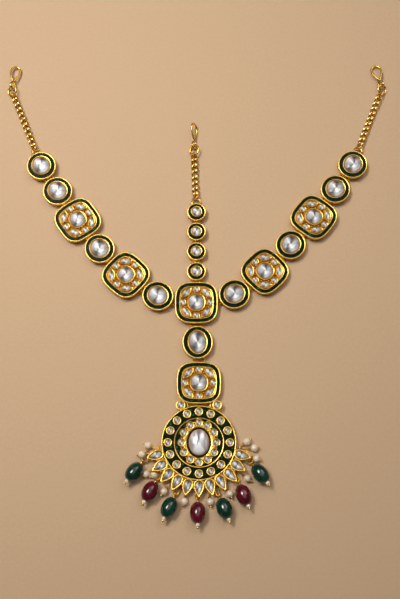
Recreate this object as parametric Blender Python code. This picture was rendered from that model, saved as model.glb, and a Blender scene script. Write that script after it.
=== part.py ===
"""Matha patti: a head ornament of gold settings with foil-backed stones, wire hooks, chains and beads.

The ornament lies face up on the ground plane, so every setting's back is at z = 0. The origin is the
middle of the centre square's back, +Y runs up the middle strand to its hook, and +X to the right.
"""

import math
from collections import namedtuple

import bmesh
import bpy
from mathutils import Matrix, Vector

MM = 0.001

# Settings of the strands
PLATE_HEIGHT = 4.2 * MM
WALL_DRAFT = 0.4 * MM
OVAL_LENGTH = 17.4 * MM
OVAL_WIDTH = 16.6 * MM
LOWER_OVAL_LENGTH = 18.4 * MM
SQUARE_SIDE = 23.2 * MM
SQUARE_CORNER = 9.4 * MM
ROUND_DIAMETER = 10.7 * MM
RIM_WIDTH = 0.9 * MM
ENAMEL_WIDTH = 1.5 * MM
ROUND_ENAMEL_WIDTH = 1.4 * MM
BEZEL_WIDTH = 0.6 * MM
BEZEL_HEIGHT = 0.5 * MM
POCKET_DEPTH = 2.0 * MM
SQUARE_STONE_SIDE = 9.4 * MM
SQUARE_STONE_CORNER = 3.6 * MM

# Stones
STONE_CLEARANCE = 0.25 * MM
STONE_RISE = 0.9 * MM
TABLE_SHARE = 0.55
SIDE_STONE_RISE = 0.6 * MM
SIDE_STONE_SINK = 0.15 * MM
SIDE_STONE_BEVEL = 0.7 * MM
MARQUISE_LENGTH = 7.0 * MM
MARQUISE_WIDTH = 3.3 * MM
COLLET_STONE_DIAMETER = 3.3 * MM

# Junctions between settings: a wide staple on one and two ears of its neighbour round the bar
STRAND_GAP = 1.2 * MM
LOWER_STRAND_GAP = 1.8 * MM
LINK_WIRE = 0.55 * MM
LINK_HEIGHT = 1.5 * MM
LINK_CLEARANCE = 0.2 * MM
EAR_SPREAD = 5.4 * MM
ROUND_EAR_SPREAD = 3.2 * MM
EAR_BURIAL = 0.9 * MM
STIFF_BEND = 36.0
GAP_PER_DEGREE = 0.028 * MM
LEG_STEP = 0.1 * MM
LONGEST_LEG = 46.0 * MM

# Pendant
LOWER_SQUARE_WIDTH = 24.0 * MM
LOWER_SQUARE_HEIGHT = 23.0 * MM
MEDALLION_DIAMETER = 40.0 * MM
PENDANT_GAP = 0.9 * MM
CENTRE_STONE_LENGTH = 14.0 * MM
CENTRE_STONE_WIDTH = 11.4 * MM
CENTRE_STONE_RISE = 2.6 * MM
COLLET_DIAMETER = 5.4 * MM
COLLET_ANGLE = 64.0
STRUT_OFFSET = 6.2 * MM
STRUT_TAPER = 0.9
STRUT_BURIAL = 1.6 * MM
PETAL_COUNT = 11
PETAL_STEP = 14.7
PETAL_LENGTH = 9.6 * MM
PETAL_WIDTH = 5.5 * MM
PETAL_HEIGHT = 1.0 * MM
PETAL_BURIAL = 0.5 * MM
PETAL_DROP = 0.2 * MM
PETAL_BEVEL = 1.2 * MM

# Fringe
FRINGE_MIDDLE = -90.0
GALLERY_OUTSET = 1.9 * MM
GALLERY_WIRE = 0.9 * MM
GALLERY_HALF_SPAN = 86.0
GALLERY_Z = 1.3 * MM
PEARL_DIAMETER = 3.9 * MM
PEARL_PIN_WIRE = 0.8 * MM
BEAD_LENGTH = 10.6 * MM
BEAD_DIAMETER = 8.1 * MM
TAIL_PEARL_DIAMETER = 2.3 * MM
TAIL_BALL_DIAMETER = 1.6 * MM
DROP_WIRE = 0.7 * MM
DROP_LOOP_DIAMETER = 2.7 * MM
DROP_LOOP_Z = 1.5 * MM
DROP_NECK = 0.5 * MM
DROP_FUSION = 0.1 * MM
EYE_WIDTH = 3.0 * MM
END_EYE_WIDTH = 4.4 * MM

# Chains, jump rings and hooks
CHAIN_WIRE = 0.95 * MM
CHAIN_PITCH = 3.6 * MM
CHAIN_WIDTH = 4.1 * MM
CHAIN_SOLDER = 0.23 * MM
CHAIN_CLEARANCE = 0.25 * MM
CHAIN_MIDDLE_Z = 1.2 * MM
LINK_ROLL = 45.0
HELD_LINK_ROLL = 80.0
BAIL_DIAMETER = 5.6 * MM
BAIL_WIRE = 0.9 * MM
BAIL_Z = 1.9 * MM
BAIL_OUTREACH = 1.5 * MM
BAIL_HALF_TURN = 150.0
RING_DIAMETER = 6.7 * MM
RING_WIRE = 1.0 * MM
RING_Z = 2.0 * MM
HOOK_WIRE = 0.95 * MM
HOOK_LOOP_LENGTH = 10.4 * MM
HOOK_LOOP_WIDTH = 5.4 * MM
HOOK_EYE_LENGTH = 4.6 * MM
HOOK_EYE_WIDTH = 3.8 * MM
HOOK_END_HEIGHT = 0.5 * MM
HOOK_START_TURN = 38.0
HOOK_EYE_TURN = 300.0

# Points and sides of the meshes
OVAL_POINTS = 12
CORNER_POINTS = 4
ROUND_POINTS = 12
MEDALLION_POINTS = 24
STONE_POINTS = 10
ROUND_WIRE = 5
SQUARE_WIRE = 4
LINK_POINTS = 10
BEAD_SIDES = 10
GALLERY_POINTS = 14
BAIL_POINTS = 9
HOOK_LOOP_POINTS = 12
HOOK_EYE_POINTS = 9
RING_POINTS = 12
MITRE_LIMIT = 0.6

# Columns of the tables. Headings and angles are in degrees from +X, a reach is a share of the
# medallion's radius, from its middle, and a foot is a share of the gallery wire's half span.
Setting = namedtuple("Setting", "name kind heading gap", defaults=(STRAND_GAP,))
Chain = namedtuple("Chain", "side links heading ring_roll hook_heading loop_roll eye_roll")
Drop = namedtuple("Drop", "angle reach heading eye_width colour")
Pearl = namedtuple("Pearl", "angle reach foot")

# Strands, walked outwards from the centre square
LEFT_STRAND = (
    Setting("left_oval_4", "oval", 156),
    Setting("left_square_2", "square", 138),
    Setting("left_oval_3", "oval", 129),
    Setting("left_square_1", "square", 125),
    Setting("left_oval_2", "oval", 124),
    Setting("left_oval_1", "oval", 121),
)
RIGHT_STRAND = (
    Setting("right_oval_4", "oval", 30),
    Setting("right_square_2", "square", 44),
    Setting("right_oval_3", "oval", 50),
    Setting("right_square_1", "square", 52),
    Setting("right_oval_2", "oval", 54),
    Setting("right_oval_1", "oval", 57),
)
TOP_STRAND = (
    Setting("top_round_4", "round", 90),
    Setting("top_round_3", "round", 90),
    Setting("top_round_2", "round", 90),
    Setting("top_round_1", "round", 90),
)
LOWER_STRAND = (
    Setting("lower_oval", "lower_oval", 274, LOWER_STRAND_GAP),
    Setting("pendant", "pendant", 270, LOWER_STRAND_GAP),
)

# The chain of each strand, with the roll of its jump ring and of its hook's loop and eye
CHAINS = (
    Chain("left", 11, 112, -30, 84, 8, 50),
    Chain("right", 11, 68, 30, 102, -8, -50),
    Chain("top", 8, 92, -30, 90, 58, 50),
)

# Bead drops round the medallion: where the bead's middle is, and where its tail points
DROPS = (
    Drop(-156.1, 1.84, -127, END_EYE_WIDTH, "green"),
    Drop(-135.3, 1.78, -118, EYE_WIDTH, "red"),
    Drop(-114.6, 1.83, -115, EYE_WIDTH, "green"),
    Drop(-91.0, 1.795, -90, EYE_WIDTH, "red"),
    Drop(-69.0, 1.81, -68, EYE_WIDTH, "green"),
    Drop(-49.3, 1.77, -68, EYE_WIDTH, "red"),
    Drop(-26.4, 1.78, -53, END_EYE_WIDTH, "green"),
)

# Pearls round the medallion: where the pearl's middle is, and its foot on the gallery wire
PEARLS = (
    Pearl(-177.5, 1.36, -0.942),
    Pearl(-168.6, 1.535, -0.907),
    Pearl(-149.5, 1.605, -0.692),
    Pearl(-144.6, 1.45, -0.61),
    Pearl(-125.8, 1.57, -0.416),
    Pearl(-103.9, 1.58, -0.162),
    Pearl(-79.2, 1.57, 0.126),
    Pearl(-58.9, 1.56, 0.362),
    Pearl(-36.1, 1.58, 0.627),
    Pearl(-15.1, 1.58, 0.895),
    Pearl(-5.3, 1.48, 0.953),
    Pearl(1.5, 1.28, 0.994),
)

# Shapes as shares of half their length and of half their width; a teardrop's are of its whole length
MARQUISE_SHAPE = ((1, 0), (0.6, 0.72), (0, 1), (-0.6, 0.72), (-1, 0), (-0.6, -0.72), (0, -1), (0.6, -0.72))
TEARDROP_SHAPE = (
    (1, 0), (0.7, 0.62), (0.38, 1), (0.1, 0.78), (0, 0), (0.1, -0.78), (0.38, -1), (0.7, -0.62),
)
BEAD_SHOULDER = (0.66, 0.75)
PEARL_SHOULDER = (0.45, 0.88)
DOME_STEPS = (0.25, 0.6)
LEAST_CORNER_SHARE = 0.3
MARQUISE_TIP_INSET = 1.6
TEARDROP_TIP_INSET = 1.9
TEARDROP_PEAK = 4 / math.sqrt(27)

# Colours of the materials, linear RGB, with roughness and metallic value
MATERIALS = {
    "gold": ((0.78, 0.45, 0.10), 0.25, 1.0),
    "stone": ((0.80, 0.79, 0.76), 0.08, 0.0),
    "pearl": ((0.82, 0.72, 0.60), 0.25, 0.0),
    "green": ((0.008, 0.05, 0.03), 0.1, 0.0),
    "red": ((0.12, 0.005, 0.015), 0.1, 0.0),
}


def clear_scene():
    for obj in list(bpy.data.objects):
        bpy.data.objects.remove(obj)


def make_material(name):
    colour, roughness, metallic = MATERIALS[name]
    mat = bpy.data.materials.new(name)
    mat.use_nodes = True
    shader = mat.node_tree.nodes["Principled BSDF"]
    shader.inputs["Base Color"].default_value = (*colour, 1.0)
    shader.inputs["Roughness"].default_value = roughness
    shader.inputs["Metallic"].default_value = metallic
    mat.diffuse_color = (*colour, 1.0)
    return mat


def add_object(name, bm, material, place=None):
    """A closed mesh as an object, its faces turned outwards."""
    bmesh.ops.recalc_face_normals(bm, faces=bm.faces)
    mesh = bpy.data.meshes.new(name)
    bm.to_mesh(mesh)
    bm.free()
    mesh.materials.append(material)
    obj = bpy.data.objects.new(name, mesh)
    if place is not None:
        obj.matrix_world = place
    bpy.context.scene.collection.objects.link(obj)
    return obj


def solder(obj, helper):
    """Joins a helper's mesh to an object with a Boolean, as solder joins metal."""
    helper.hide_render = True
    helper.display_type = "WIRE"
    joint = obj.modifiers.new("Solder " + helper.name, "BOOLEAN")
    joint.operation = "UNION"
    joint.object = helper


# Placing

def direction(degrees):
    angle = math.radians(degrees)
    return Vector((math.cos(angle), math.sin(angle), 0.0))


def placed(position, heading):
    """A frame at the position whose X axis is the heading."""
    return Matrix.Translation(position) @ Matrix.Rotation(math.radians(heading), 4, "Z")


def middle_heading(first, second):
    return first + ((second - first + 180) % 360 - 180) / 2


# Outlines: functions of the inset from the edge, which give points in the plane z = 0

def oval_outline(length, width, count):
    def points(inset=0.0):
        steps = [2 * math.pi * k / count for k in range(count)]
        half_length, half_width = length / 2 - inset, width / 2 - inset
        return [Vector((half_length * math.cos(a), half_width * math.sin(a), 0)) for a in steps]
    return points


def cushion_outline(length, width, corner, per_corner):
    """A rectangle with round corners."""
    def points(inset=0.0):
        radius = max(corner - inset, LEAST_CORNER_SHARE * corner)
        middles = (length / 2 - inset - radius, width / 2 - inset - radius)
        result = []
        for quarter in range(4):
            sign_x = 1 if quarter in (0, 3) else -1
            sign_y = 1 if quarter in (0, 1) else -1
            centre = Vector((sign_x * middles[0], sign_y * middles[1], 0))
            for k in range(per_corner):
                result.append(centre + radius * direction(90 * quarter + 90 * k / (per_corner - 1)))
        return result
    return points


def marquise_outline(length, width):
    """A pointed oval of eight points."""
    def points(inset=0.0):
        a, b = length / 2 - MARQUISE_TIP_INSET * inset, width / 2 - inset
        return [Vector((a * x, b * y, 0)) for x, y in MARQUISE_SHAPE]
    return points


def teardrop_outline(length, width):
    """A pointed drop of eight points from x = 0, its round end, to its tip at x = length."""
    def points(inset=0.0):
        far, near, half = length - TEARDROP_TIP_INSET * inset, inset, width / 2 - inset
        return [Vector((near + (far - near) * x, half * y, 0)) for x, y in TEARDROP_SHAPE]
    return points


def row(outline, inset, height):
    return [Vector((p.x, p.y, height)) for p in outline(inset)]


# Mesh builders

def skin(bm, rows):
    """A closed body through rows of points, with a flat cap on the first and last row."""
    rings = [[bm.verts.new(p) for p in points] for points in rows]
    for lower, upper in zip(rings, rings[1:]):
        count = len(lower)
        for k in range(count):
            bm.faces.new((lower[k], lower[(k + 1) % count], upper[(k + 1) % count], upper[k]))
    bm.faces.new(reversed(rings[0]))
    bm.faces.new(rings[-1])


def wire_ring(bm, centre, side, up, radius, stretch, sides):
    ring = []
    for k in range(sides):
        angle = 2 * math.pi * (k + 0.5) / sides
        offset = side * (stretch * math.cos(angle)) + up * math.sin(angle)
        ring.append(bm.verts.new(centre + radius * offset))
    return ring


def wire(bm, path, radius, normals, closed=False, sides=ROUND_WIRE):
    """A wire along a path; each point has the normal of the plane in which the path bends there."""
    count = len(path)
    rings = []
    for k, point in enumerate(path):
        before = path[k - 1] if closed or k else point
        after = path[(k + 1) % count] if closed or k < count - 1 else point
        incoming = (point - before).normalized() if before != point else (after - point).normalized()
        outgoing = (after - point).normalized() if after != point else incoming
        tangent = (incoming + outgoing).normalized()
        up = (normals[k] - tangent * normals[k].dot(tangent)).normalized()
        side = tangent.cross(up)
        stretch = 1.0 / max(MITRE_LIMIT, tangent.dot(outgoing))
        rings.append(wire_ring(bm, point, side, up, radius, stretch, sides))
    pairs = list(zip(rings, rings[1:])) + ([(rings[-1], rings[0])] if closed else [])
    for lower, upper in pairs:
        for k in range(sides):
            after = (k + 1) % sides
            bm.faces.new((lower[k], lower[after], upper[after], upper[k]))
    if not closed:
        bm.faces.new(rings[0])
        bm.faces.new(reversed(rings[-1]))


def flat_wire(bm, path, radius, normal, closed=False, sides=ROUND_WIRE):
    wire(bm, path, radius, [normal] * len(path), closed, sides)


def lathe(bm, profile, axis, start, sides=BEAD_SIDES):
    """A turned body: rows of (distance along the axis, radius); a radius of zero makes a pole."""
    side = axis.cross(Vector((0, 0, 1))).normalized()
    up = side.cross(axis)
    rings = []
    for distance, radius in profile:
        centre = start + axis * distance
        if radius == 0:
            rings.append([bm.verts.new(centre)])
            continue
        ring = []
        for k in range(sides):
            angle = 2 * math.pi * k / sides
            ring.append(bm.verts.new(centre + radius * (side * math.cos(angle) + up * math.sin(angle))))
        rings.append(ring)
    for lower, upper in zip(rings, rings[1:]):
        for k in range(sides):
            after = (k + 1) % sides
            if len(lower) == 1:
                bm.faces.new((lower[0], upper[after], upper[k]))
            elif len(upper) == 1:
                bm.faces.new((lower[k], lower[after], upper[0]))
            else:
                bm.faces.new((lower[k], lower[after], upper[after], upper[k]))
    if len(rings[-1]) > 1:
        bm.faces.new(rings[-1])


# Settings

def setting_rows(edge, pocket):
    """Rows of a setting: back edge, rim, foot and ridge of the bezel, floor of the stone's pocket."""
    top = PLATE_HEIGHT
    return [
        row(edge, WALL_DRAFT, 0),
        row(edge, 0, top),
        row(pocket, -BEZEL_WIDTH, top),
        row(pocket, 0, top + BEZEL_HEIGHT),
        row(pocket, 0, top - POCKET_DEPTH),
    ]


def stone_rows(pocket, rise):
    """Rows of a stone with flat sides, a crown of facets and a table."""
    gap = STONE_CLEARANCE
    girdle = PLATE_HEIGHT + BEZEL_HEIGHT
    half_width = max(p.y for p in pocket(0)) - gap
    return [
        row(pocket, gap, PLATE_HEIGHT - POCKET_DEPTH + gap),
        row(pocket, gap, girdle),
        row(pocket, gap + half_width * (1 - TABLE_SHARE), girdle + rise),
    ]


def side_stone(bm, outline, place, width):
    """A small faceted stone that stands in its setting's face, sunk a little so that both are one body."""
    rows = [
        row(outline, 0, PLATE_HEIGHT - SIDE_STONE_SINK),
        row(outline, width / 2 * (1 - TABLE_SHARE), PLATE_HEIGHT + SIDE_STONE_RISE),
    ]
    skin(bm, [[place @ p for p in points] for points in rows])


def square_marquises(bm, length, width, place):
    """Four marquises, one at each corner of a square."""
    marquise = marquise_outline(MARQUISE_LENGTH, MARQUISE_WIDTH)
    inner = RIM_WIDTH + ENAMEL_WIDTH
    for k in range(4):
        away = Vector((length / 2, width / 2, 0)).length
        reach = away - (math.sqrt(2) - 1) * SQUARE_CORNER - inner - MARQUISE_WIDTH / 2 - BEZEL_WIDTH
        corner = Vector((1 if k in (0, 3) else -1, 1 if k in (0, 1) else -1, 0)).normalized()
        spot = Vector((corner.x * reach, corner.y * reach, 0))
        side_stone(bm, marquise, place @ placed(spot, 45 + 90 * k + 90), MARQUISE_WIDTH)


def square_pocket(count):
    return cushion_outline(SQUARE_STONE_SIDE, SQUARE_STONE_SIDE, SQUARE_STONE_CORNER, count)


def frame_width(kind):
    enamel = ROUND_ENAMEL_WIDTH if kind == "round" else ENAMEL_WIDTH
    return RIM_WIDTH + enamel + BEZEL_WIDTH


def setting_size(kind):
    """Length along the strand and width across it."""
    return {
        "oval": (OVAL_LENGTH, OVAL_WIDTH),
        "lower_oval": (LOWER_OVAL_LENGTH, OVAL_WIDTH),
        "round": (ROUND_DIAMETER, ROUND_DIAMETER),
        "square": (SQUARE_SIDE, SQUARE_SIDE),
        "pendant": (LOWER_SQUARE_HEIGHT, LOWER_SQUARE_WIDTH),
    }[kind]


def setting_edge(kind):
    length, width = setting_size(kind)
    if kind in ("square", "pendant"):
        return cushion_outline(length, width, SQUARE_CORNER, CORNER_POINTS)
    return oval_outline(length, width, ROUND_POINTS if kind == "round" else OVAL_POINTS)


def setting_pocket(kind, count=None):
    length, width = setting_size(kind)
    if kind in ("square", "pendant"):
        return square_pocket(count // 4 if count else CORNER_POINTS)
    border = 2 * frame_width(kind)
    if count is None:
        count = ROUND_POINTS if kind == "round" else OVAL_POINTS
    return oval_outline(length - border, width - border, count)


def build_setting(name, kind, place, gold):
    bm = bmesh.new()
    skin(bm, setting_rows(setting_edge(kind), setting_pocket(kind)))
    setting = add_object(name, bm, gold, place)
    if kind == "square":
        bm = bmesh.new()
        square_marquises(bm, SQUARE_SIDE, SQUARE_SIDE, Matrix())
        solder(setting, add_object(name + "_marquises", bm, gold, place))
    return setting


def build_stone(name, kind, place, stone):
    bm = bmesh.new()
    skin(bm, stone_rows(setting_pocket(kind, STONE_POINTS), STONE_RISE))
    add_object(name + "_stone", bm, stone, place)


# Junctions

def depth_to_edge(edge, place, start, heading, depth):
    """How far a leg runs from its start, along the heading, until it is this deep inside the setting."""
    inverse = place.inverted()
    outline = edge(depth)
    travelled = 0.0
    while not inside(outline, inverse @ (start + travelled * direction(heading))):
        travelled += LEG_STEP
        if travelled > LONGEST_LEG:
            raise ValueError("a leg misses its setting")
    return travelled


def inside(outline, point):
    """Whether a point is in a convex outline that runs counter-clockwise."""
    pairs = zip(outline, outline[1:] + outline[:1])
    return all((b - a).cross(point - a).z >= 0 for a, b in pairs)


def u_wire(bm, centre, heading, half_width, legs, edge, place, heights=None):
    """A U of wire round its centre whose legs run along the heading into a setting."""
    across = direction(heading + 90)
    corners = []
    for sign in (1, -1):
        spot = centre + sign * half_width * across if heights is None else centre.copy()
        spot.z = centre.z if heights is None else heights[0 if sign > 0 else 1]
        flat = Vector((spot.x, spot.y, 0))
        reach = depth_to_edge(edge, place, flat, heading, EAR_BURIAL)
        corners.append((spot, spot + reach * direction(heading)))
    path = [corners[0][1], corners[0][0], corners[1][0], corners[1][1]]
    normal = Vector((0, 0, 1)) if heights is None else across
    flat_wire(bm, path, legs, normal, sides=SQUARE_WIRE)


def junction_spread(kinds, bend):
    """Distance between the two ears: less on the small rounds and where the strand bends more."""
    spread = ROUND_EAR_SPREAD if "round" in kinds else EAR_SPREAD
    return spread * (1 - abs(bend) / STIFF_BEND)


def build_junction(inner, outer, middle, heading, bend, gold):
    """A staple on the inner setting and two ears on the outer one, with a clearance all round the bar."""
    radius = LINK_WIRE / math.sqrt(2)
    pitch = LINK_WIRE + LINK_CLEARANCE
    spread = junction_spread((inner["kind"], outer["kind"]), bend)
    bar_spot = middle + 0.5 * pitch * direction(heading)
    height = LINK_HEIGHT
    bm = bmesh.new()
    bar_spot.z = height
    u_wire(bm, bar_spot, heading + 180, spread / 2 + pitch, radius, inner["edge"], inner["place"])
    solder(inner["object"], add_object(inner["name"] + "_to_" + outer["name"], bm, gold))
    bm = bmesh.new()
    for sign in (1, -1):
        tip = bar_spot - pitch * direction(heading) + sign * spread / 2 * direction(heading + 90)
        heights = (height + pitch, height - pitch)
        u_wire(bm, tip, heading, 0.0, radius, outer["edge"], outer["place"], heights)
    solder(outer["object"], add_object(outer["name"] + "_ears", bm, gold))


def build_strand(rows, first, gold, stone):
    """Walks a strand of settings outwards from the centre square and joins each to the one before."""
    before = first
    for name, kind, heading, gap in rows:
        length = setting_size(kind)[0]
        bend = (heading - before["heading"] + 180) % 360 - 180
        mid = middle_heading(before["heading"], heading)
        gap += GAP_PER_DEGREE * abs(bend)
        end = before["position"] + before["length"] / 2 * direction(before["heading"])
        position = end + gap * direction(mid) + length / 2 * direction(heading)
        place = placed(position, heading)
        if kind == "pendant":
            built = build_pendant(name, place, gold, stone)
        else:
            built = build_setting(name, kind, place, gold)
        build_stone("lower_square" if kind == "pendant" else name, kind, place, stone)
        this = {
            "name": name, "kind": kind, "heading": heading, "length": length, "position": position,
            "place": place, "edge": setting_edge(kind), "object": built,
        }
        build_junction(before, this, end + gap / 2 * direction(mid), mid, bend, gold)
        before = this
    return before


# Pendant

def medallion_place(place):
    """The medallion's frame from the lower square's: further along the strand, X towards the tip."""
    reach = LOWER_SQUARE_HEIGHT / 2 + PENDANT_GAP + MEDALLION_DIAMETER / 2
    return place @ Matrix.Translation((reach, 0, 0))


def medallion_outlines():
    edge = oval_outline(MEDALLION_DIAMETER, MEDALLION_DIAMETER, MEDALLION_POINTS)
    pocket = oval_outline(CENTRE_STONE_LENGTH, CENTRE_STONE_WIDTH, MEDALLION_POINTS)
    return edge, pocket


def petal(bm, place):
    """A drop-shaped collet with its stone, its round end in the medallion's wall."""
    outline = teardrop_outline(PETAL_LENGTH, PETAL_WIDTH)
    base = PLATE_HEIGHT - PETAL_HEIGHT
    top = PLATE_HEIGHT - PETAL_DROP
    rows = [
        row(outline, 0, base),
        row(outline, 0, top),
        row(outline, PETAL_BEVEL, top + SIDE_STONE_RISE),
    ]
    skin(bm, [[place @ p for p in points] for points in rows])


def collet(bm, place):
    """A small round collet with its stone, from the back to above the rims."""
    outline = oval_outline(COLLET_DIAMETER, COLLET_DIAMETER, BEAD_SIDES)
    margin = (COLLET_DIAMETER - COLLET_STONE_DIAMETER) / 2
    rows = [
        row(outline, 0, 0),
        row(outline, 0, PLATE_HEIGHT),
        row(outline, margin, PLATE_HEIGHT),
        row(outline, margin + SIDE_STONE_BEVEL, PLATE_HEIGHT + SIDE_STONE_RISE),
    ]
    skin(bm, [[place @ p for p in points] for points in rows])


def strut(bm, place, offset):
    """A short wire across the slit between the lower square and the medallion."""
    square_edge = PENDANT_GAP + MEDALLION_DIAMETER / 2
    disc_edge = math.sqrt((MEDALLION_DIAMETER / 2) ** 2 - offset ** 2)
    start = Vector((-square_edge - STRUT_BURIAL, offset, PLATE_HEIGHT / 2))
    end = Vector((-disc_edge + STRUT_BURIAL, STRUT_TAPER * offset, PLATE_HEIGHT / 2))
    flat_wire(bm, [place @ start, place @ end], LINK_WIRE, Vector((0, 0, 1)))


def build_pendant(name, place, gold, stone):
    """Lower square, slit, medallion, collets and petals, soldered into one piece."""
    middle = medallion_place(place)
    edge, pocket = medallion_outlines()
    bm = bmesh.new()
    skin(bm, [[middle @ p for p in points] for points in setting_rows(edge, pocket)])
    pendant = add_object(name, bm, gold)

    bm = bmesh.new()
    rows = setting_rows(setting_edge("pendant"), setting_pocket("pendant"))
    skin(bm, [[place @ p for p in points] for points in rows])
    solder(pendant, add_object(name + "_square", bm, gold))

    bm = bmesh.new()
    reach = (MEDALLION_DIAMETER + COLLET_DIAMETER) / 2 - EAR_BURIAL / 2
    for sign in (1, -1):
        collet(bm, middle @ Matrix.Translation(reach * direction(180 + sign * (90 - COLLET_ANGLE))))
        strut(bm, middle, sign * STRUT_OFFSET)
    solder(pendant, add_object(name + "_collets", bm, gold))

    for half in (0, 1):
        bm = bmesh.new()
        for k in range(half, PETAL_COUNT, 2):
            angle = (k - (PETAL_COUNT - 1) / 2) * PETAL_STEP
            spot = (MEDALLION_DIAMETER / 2 - PETAL_BURIAL) * direction(angle)
            petal(bm, middle @ placed(spot, angle))
        solder(pendant, add_object(name + "_petals_" + str(half), bm, gold))

    bm = bmesh.new()
    square_marquises(bm, LOWER_SQUARE_HEIGHT, LOWER_SQUARE_WIDTH, place)
    solder(pendant, add_object(name + "_marquises", bm, gold))
    build_centre_stone(middle, pocket, stone)
    return pendant


def build_centre_stone(place, pocket, stone):
    """The medallion's domed oval stone."""
    gap = STONE_CLEARANCE
    girdle = PLATE_HEIGHT + BEZEL_HEIGHT
    half = CENTRE_STONE_WIDTH / 2 - gap
    bm = bmesh.new()
    rows = [row(pocket, gap, PLATE_HEIGHT - POCKET_DEPTH + gap), row(pocket, gap, girdle)]
    for share in DOME_STEPS:
        height = CENTRE_STONE_RISE * math.sqrt(1 - (1 - share) ** 2)
        rows.append(row(pocket, gap + half * share, girdle + height))
    skin(bm, [points[::2] for points in rows])
    add_object("medallion_stone", bm, stone, place)


# Fringe

def around(place, angle, reach, height):
    """A point round the medallion; the angle is from +X of the whole ornament, the reach in its radii."""
    spot = place.translation + reach * MEDALLION_DIAMETER / 2 * direction(angle)
    spot.z = height
    return spot


def gallery_reach():
    return 1 + 2 * GALLERY_OUTSET / MEDALLION_DIAMETER


def drop_frame(place, entry):
    """Middle of a bead, direction of its tail and middle of its loop."""
    loop_reach = BEAD_LENGTH / 2 + DROP_LOOP_DIAMETER / 2 + DROP_NECK
    rise = BEAD_DIAMETER / 2 - DROP_LOOP_Z
    tilt = math.asin(rise / loop_reach)
    tail = direction(entry.heading) * math.cos(tilt) + Vector((0, 0, math.sin(tilt)))
    middle = around(place, entry.angle, entry.reach, BEAD_DIAMETER / 2)
    return middle, tail, middle - loop_reach * tail


def build_drop(number, place, entry, material, gold):
    """Tail ball, small pearl and bead on a pin, with a loop at its head, fused."""
    middle, tail, loop = drop_frame(place, entry)
    half = BEAD_LENGTH / 2
    shoulder, shoulder_radius = BEAD_SHOULDER[0] * half, BEAD_SHOULDER[1] * BEAD_DIAMETER / 2
    pearl = half + TAIL_PEARL_DIAMETER / 2 - DROP_FUSION
    ball = pearl + (TAIL_PEARL_DIAMETER + TAIL_BALL_DIAMETER) / 2 - DROP_FUSION
    pin_end = (loop - middle).length - DROP_LOOP_DIAMETER / 2 + DROP_WIRE / 2
    profile = [
        (ball + TAIL_BALL_DIAMETER / 2, 0),
        (ball, TAIL_BALL_DIAMETER / 2),
        (pearl, TAIL_PEARL_DIAMETER / 2),
        (half, DROP_WIRE / 2),
        (shoulder, shoulder_radius),
        (0, BEAD_DIAMETER / 2),
        (-shoulder, shoulder_radius),
        (-half, DROP_WIRE),
        (-pin_end, DROP_WIRE / 2),
    ]
    bm = bmesh.new()
    lathe(bm, profile, tail, middle)
    drop = add_object("drop_" + str(number), bm, material)
    bm = bmesh.new()
    across = direction(entry.heading + 90)
    up = across.cross(tail)
    radius = (DROP_LOOP_DIAMETER - DROP_WIRE) / 2
    angles = [2 * math.pi * k / LINK_POINTS for k in range(LINK_POINTS)]
    path = [loop + radius * (tail * math.cos(a) + up * math.sin(a)) for a in angles]
    flat_wire(bm, path, DROP_WIRE / 2, across, closed=True)
    solder(drop, add_object("drop_loop_" + str(number), bm, gold))


def build_pearl(bm, place, entry):
    """A pearl on a pin from the gallery wire, with a pointed cap at its outer end."""
    start = around(place, FRINGE_MIDDLE + entry.foot * GALLERY_HALF_SPAN, gallery_reach(), GALLERY_Z)
    end = around(place, entry.angle, entry.reach, PEARL_DIAMETER / 2)
    axis = (end - start).normalized()
    reach = (end - start).length
    radius = PEARL_DIAMETER / 2
    shoulder, shoulder_radius = PEARL_SHOULDER[0] * radius, PEARL_SHOULDER[1] * radius
    profile = [
        (reach + radius + PEARL_PIN_WIRE, 0),
        (reach + shoulder, shoulder_radius),
        (reach - shoulder, shoulder_radius),
        (reach - radius, PEARL_PIN_WIRE / 2),
        (-PEARL_PIN_WIRE / 4, 0),
    ]
    lathe(bm, profile, axis, start)


def circle_reach(start, heading, centre, radius):
    """How far a line from the start runs along the heading until it meets the circle."""
    offset = Vector((start.x - centre.x, start.y - centre.y, 0))
    along = offset.dot(direction(heading))
    return -along - math.sqrt(max(along ** 2 - offset.length_squared + radius ** 2, 0))


def fringe_eye(bm, place, entry):
    """A flat U of wire from the gallery wire through a drop's loop."""
    bar = drop_frame(place, entry)[2]
    half_width = (entry.eye_width - DROP_WIRE) / 2
    radius = gallery_reach() * MEDALLION_DIAMETER / 2
    inwards = entry.heading + 180
    path = []
    for sign in (1, -1):
        corner = bar + sign * half_width * direction(entry.heading + 90)
        reach = circle_reach(corner, inwards, place.translation, radius)
        foot = corner + reach * direction(inwards)
        foot.z = GALLERY_Z
        path += [foot, corner] if sign > 0 else [corner, foot]
    flat_wire(bm, path, DROP_WIRE / 2, Vector((0, 0, 1)))


def build_fringe(place, gold, materials):
    """The gallery wire with its eyes and pearls, and the bead drops on the eyes."""
    bm = bmesh.new()
    first, step = FRINGE_MIDDLE - GALLERY_HALF_SPAN, 2 * GALLERY_HALF_SPAN / (GALLERY_POINTS - 1)
    angles = [first + step * k for k in range(GALLERY_POINTS)]
    path = [around(place, angle, gallery_reach(), GALLERY_Z) for angle in angles]
    flat_wire(bm, path, GALLERY_WIRE / math.sqrt(2), Vector((0, 0, 1)), sides=SQUARE_WIRE)
    fringe = add_object("pearl_fringe", bm, materials["pearl"])
    bm = bmesh.new()
    for pearl in PEARLS:
        build_pearl(bm, place, pearl)
    solder(fringe, add_object("fringe_pearls", bm, materials["pearl"]))
    bm = bmesh.new()
    for drop in DROPS:
        fringe_eye(bm, place, drop)
    solder(fringe, add_object("fringe_eyes", bm, gold))
    for k, drop in enumerate(DROPS):
        build_drop(k + 1, place, drop, materials[drop.colour], gold)


# Chains, jump rings and hooks

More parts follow.
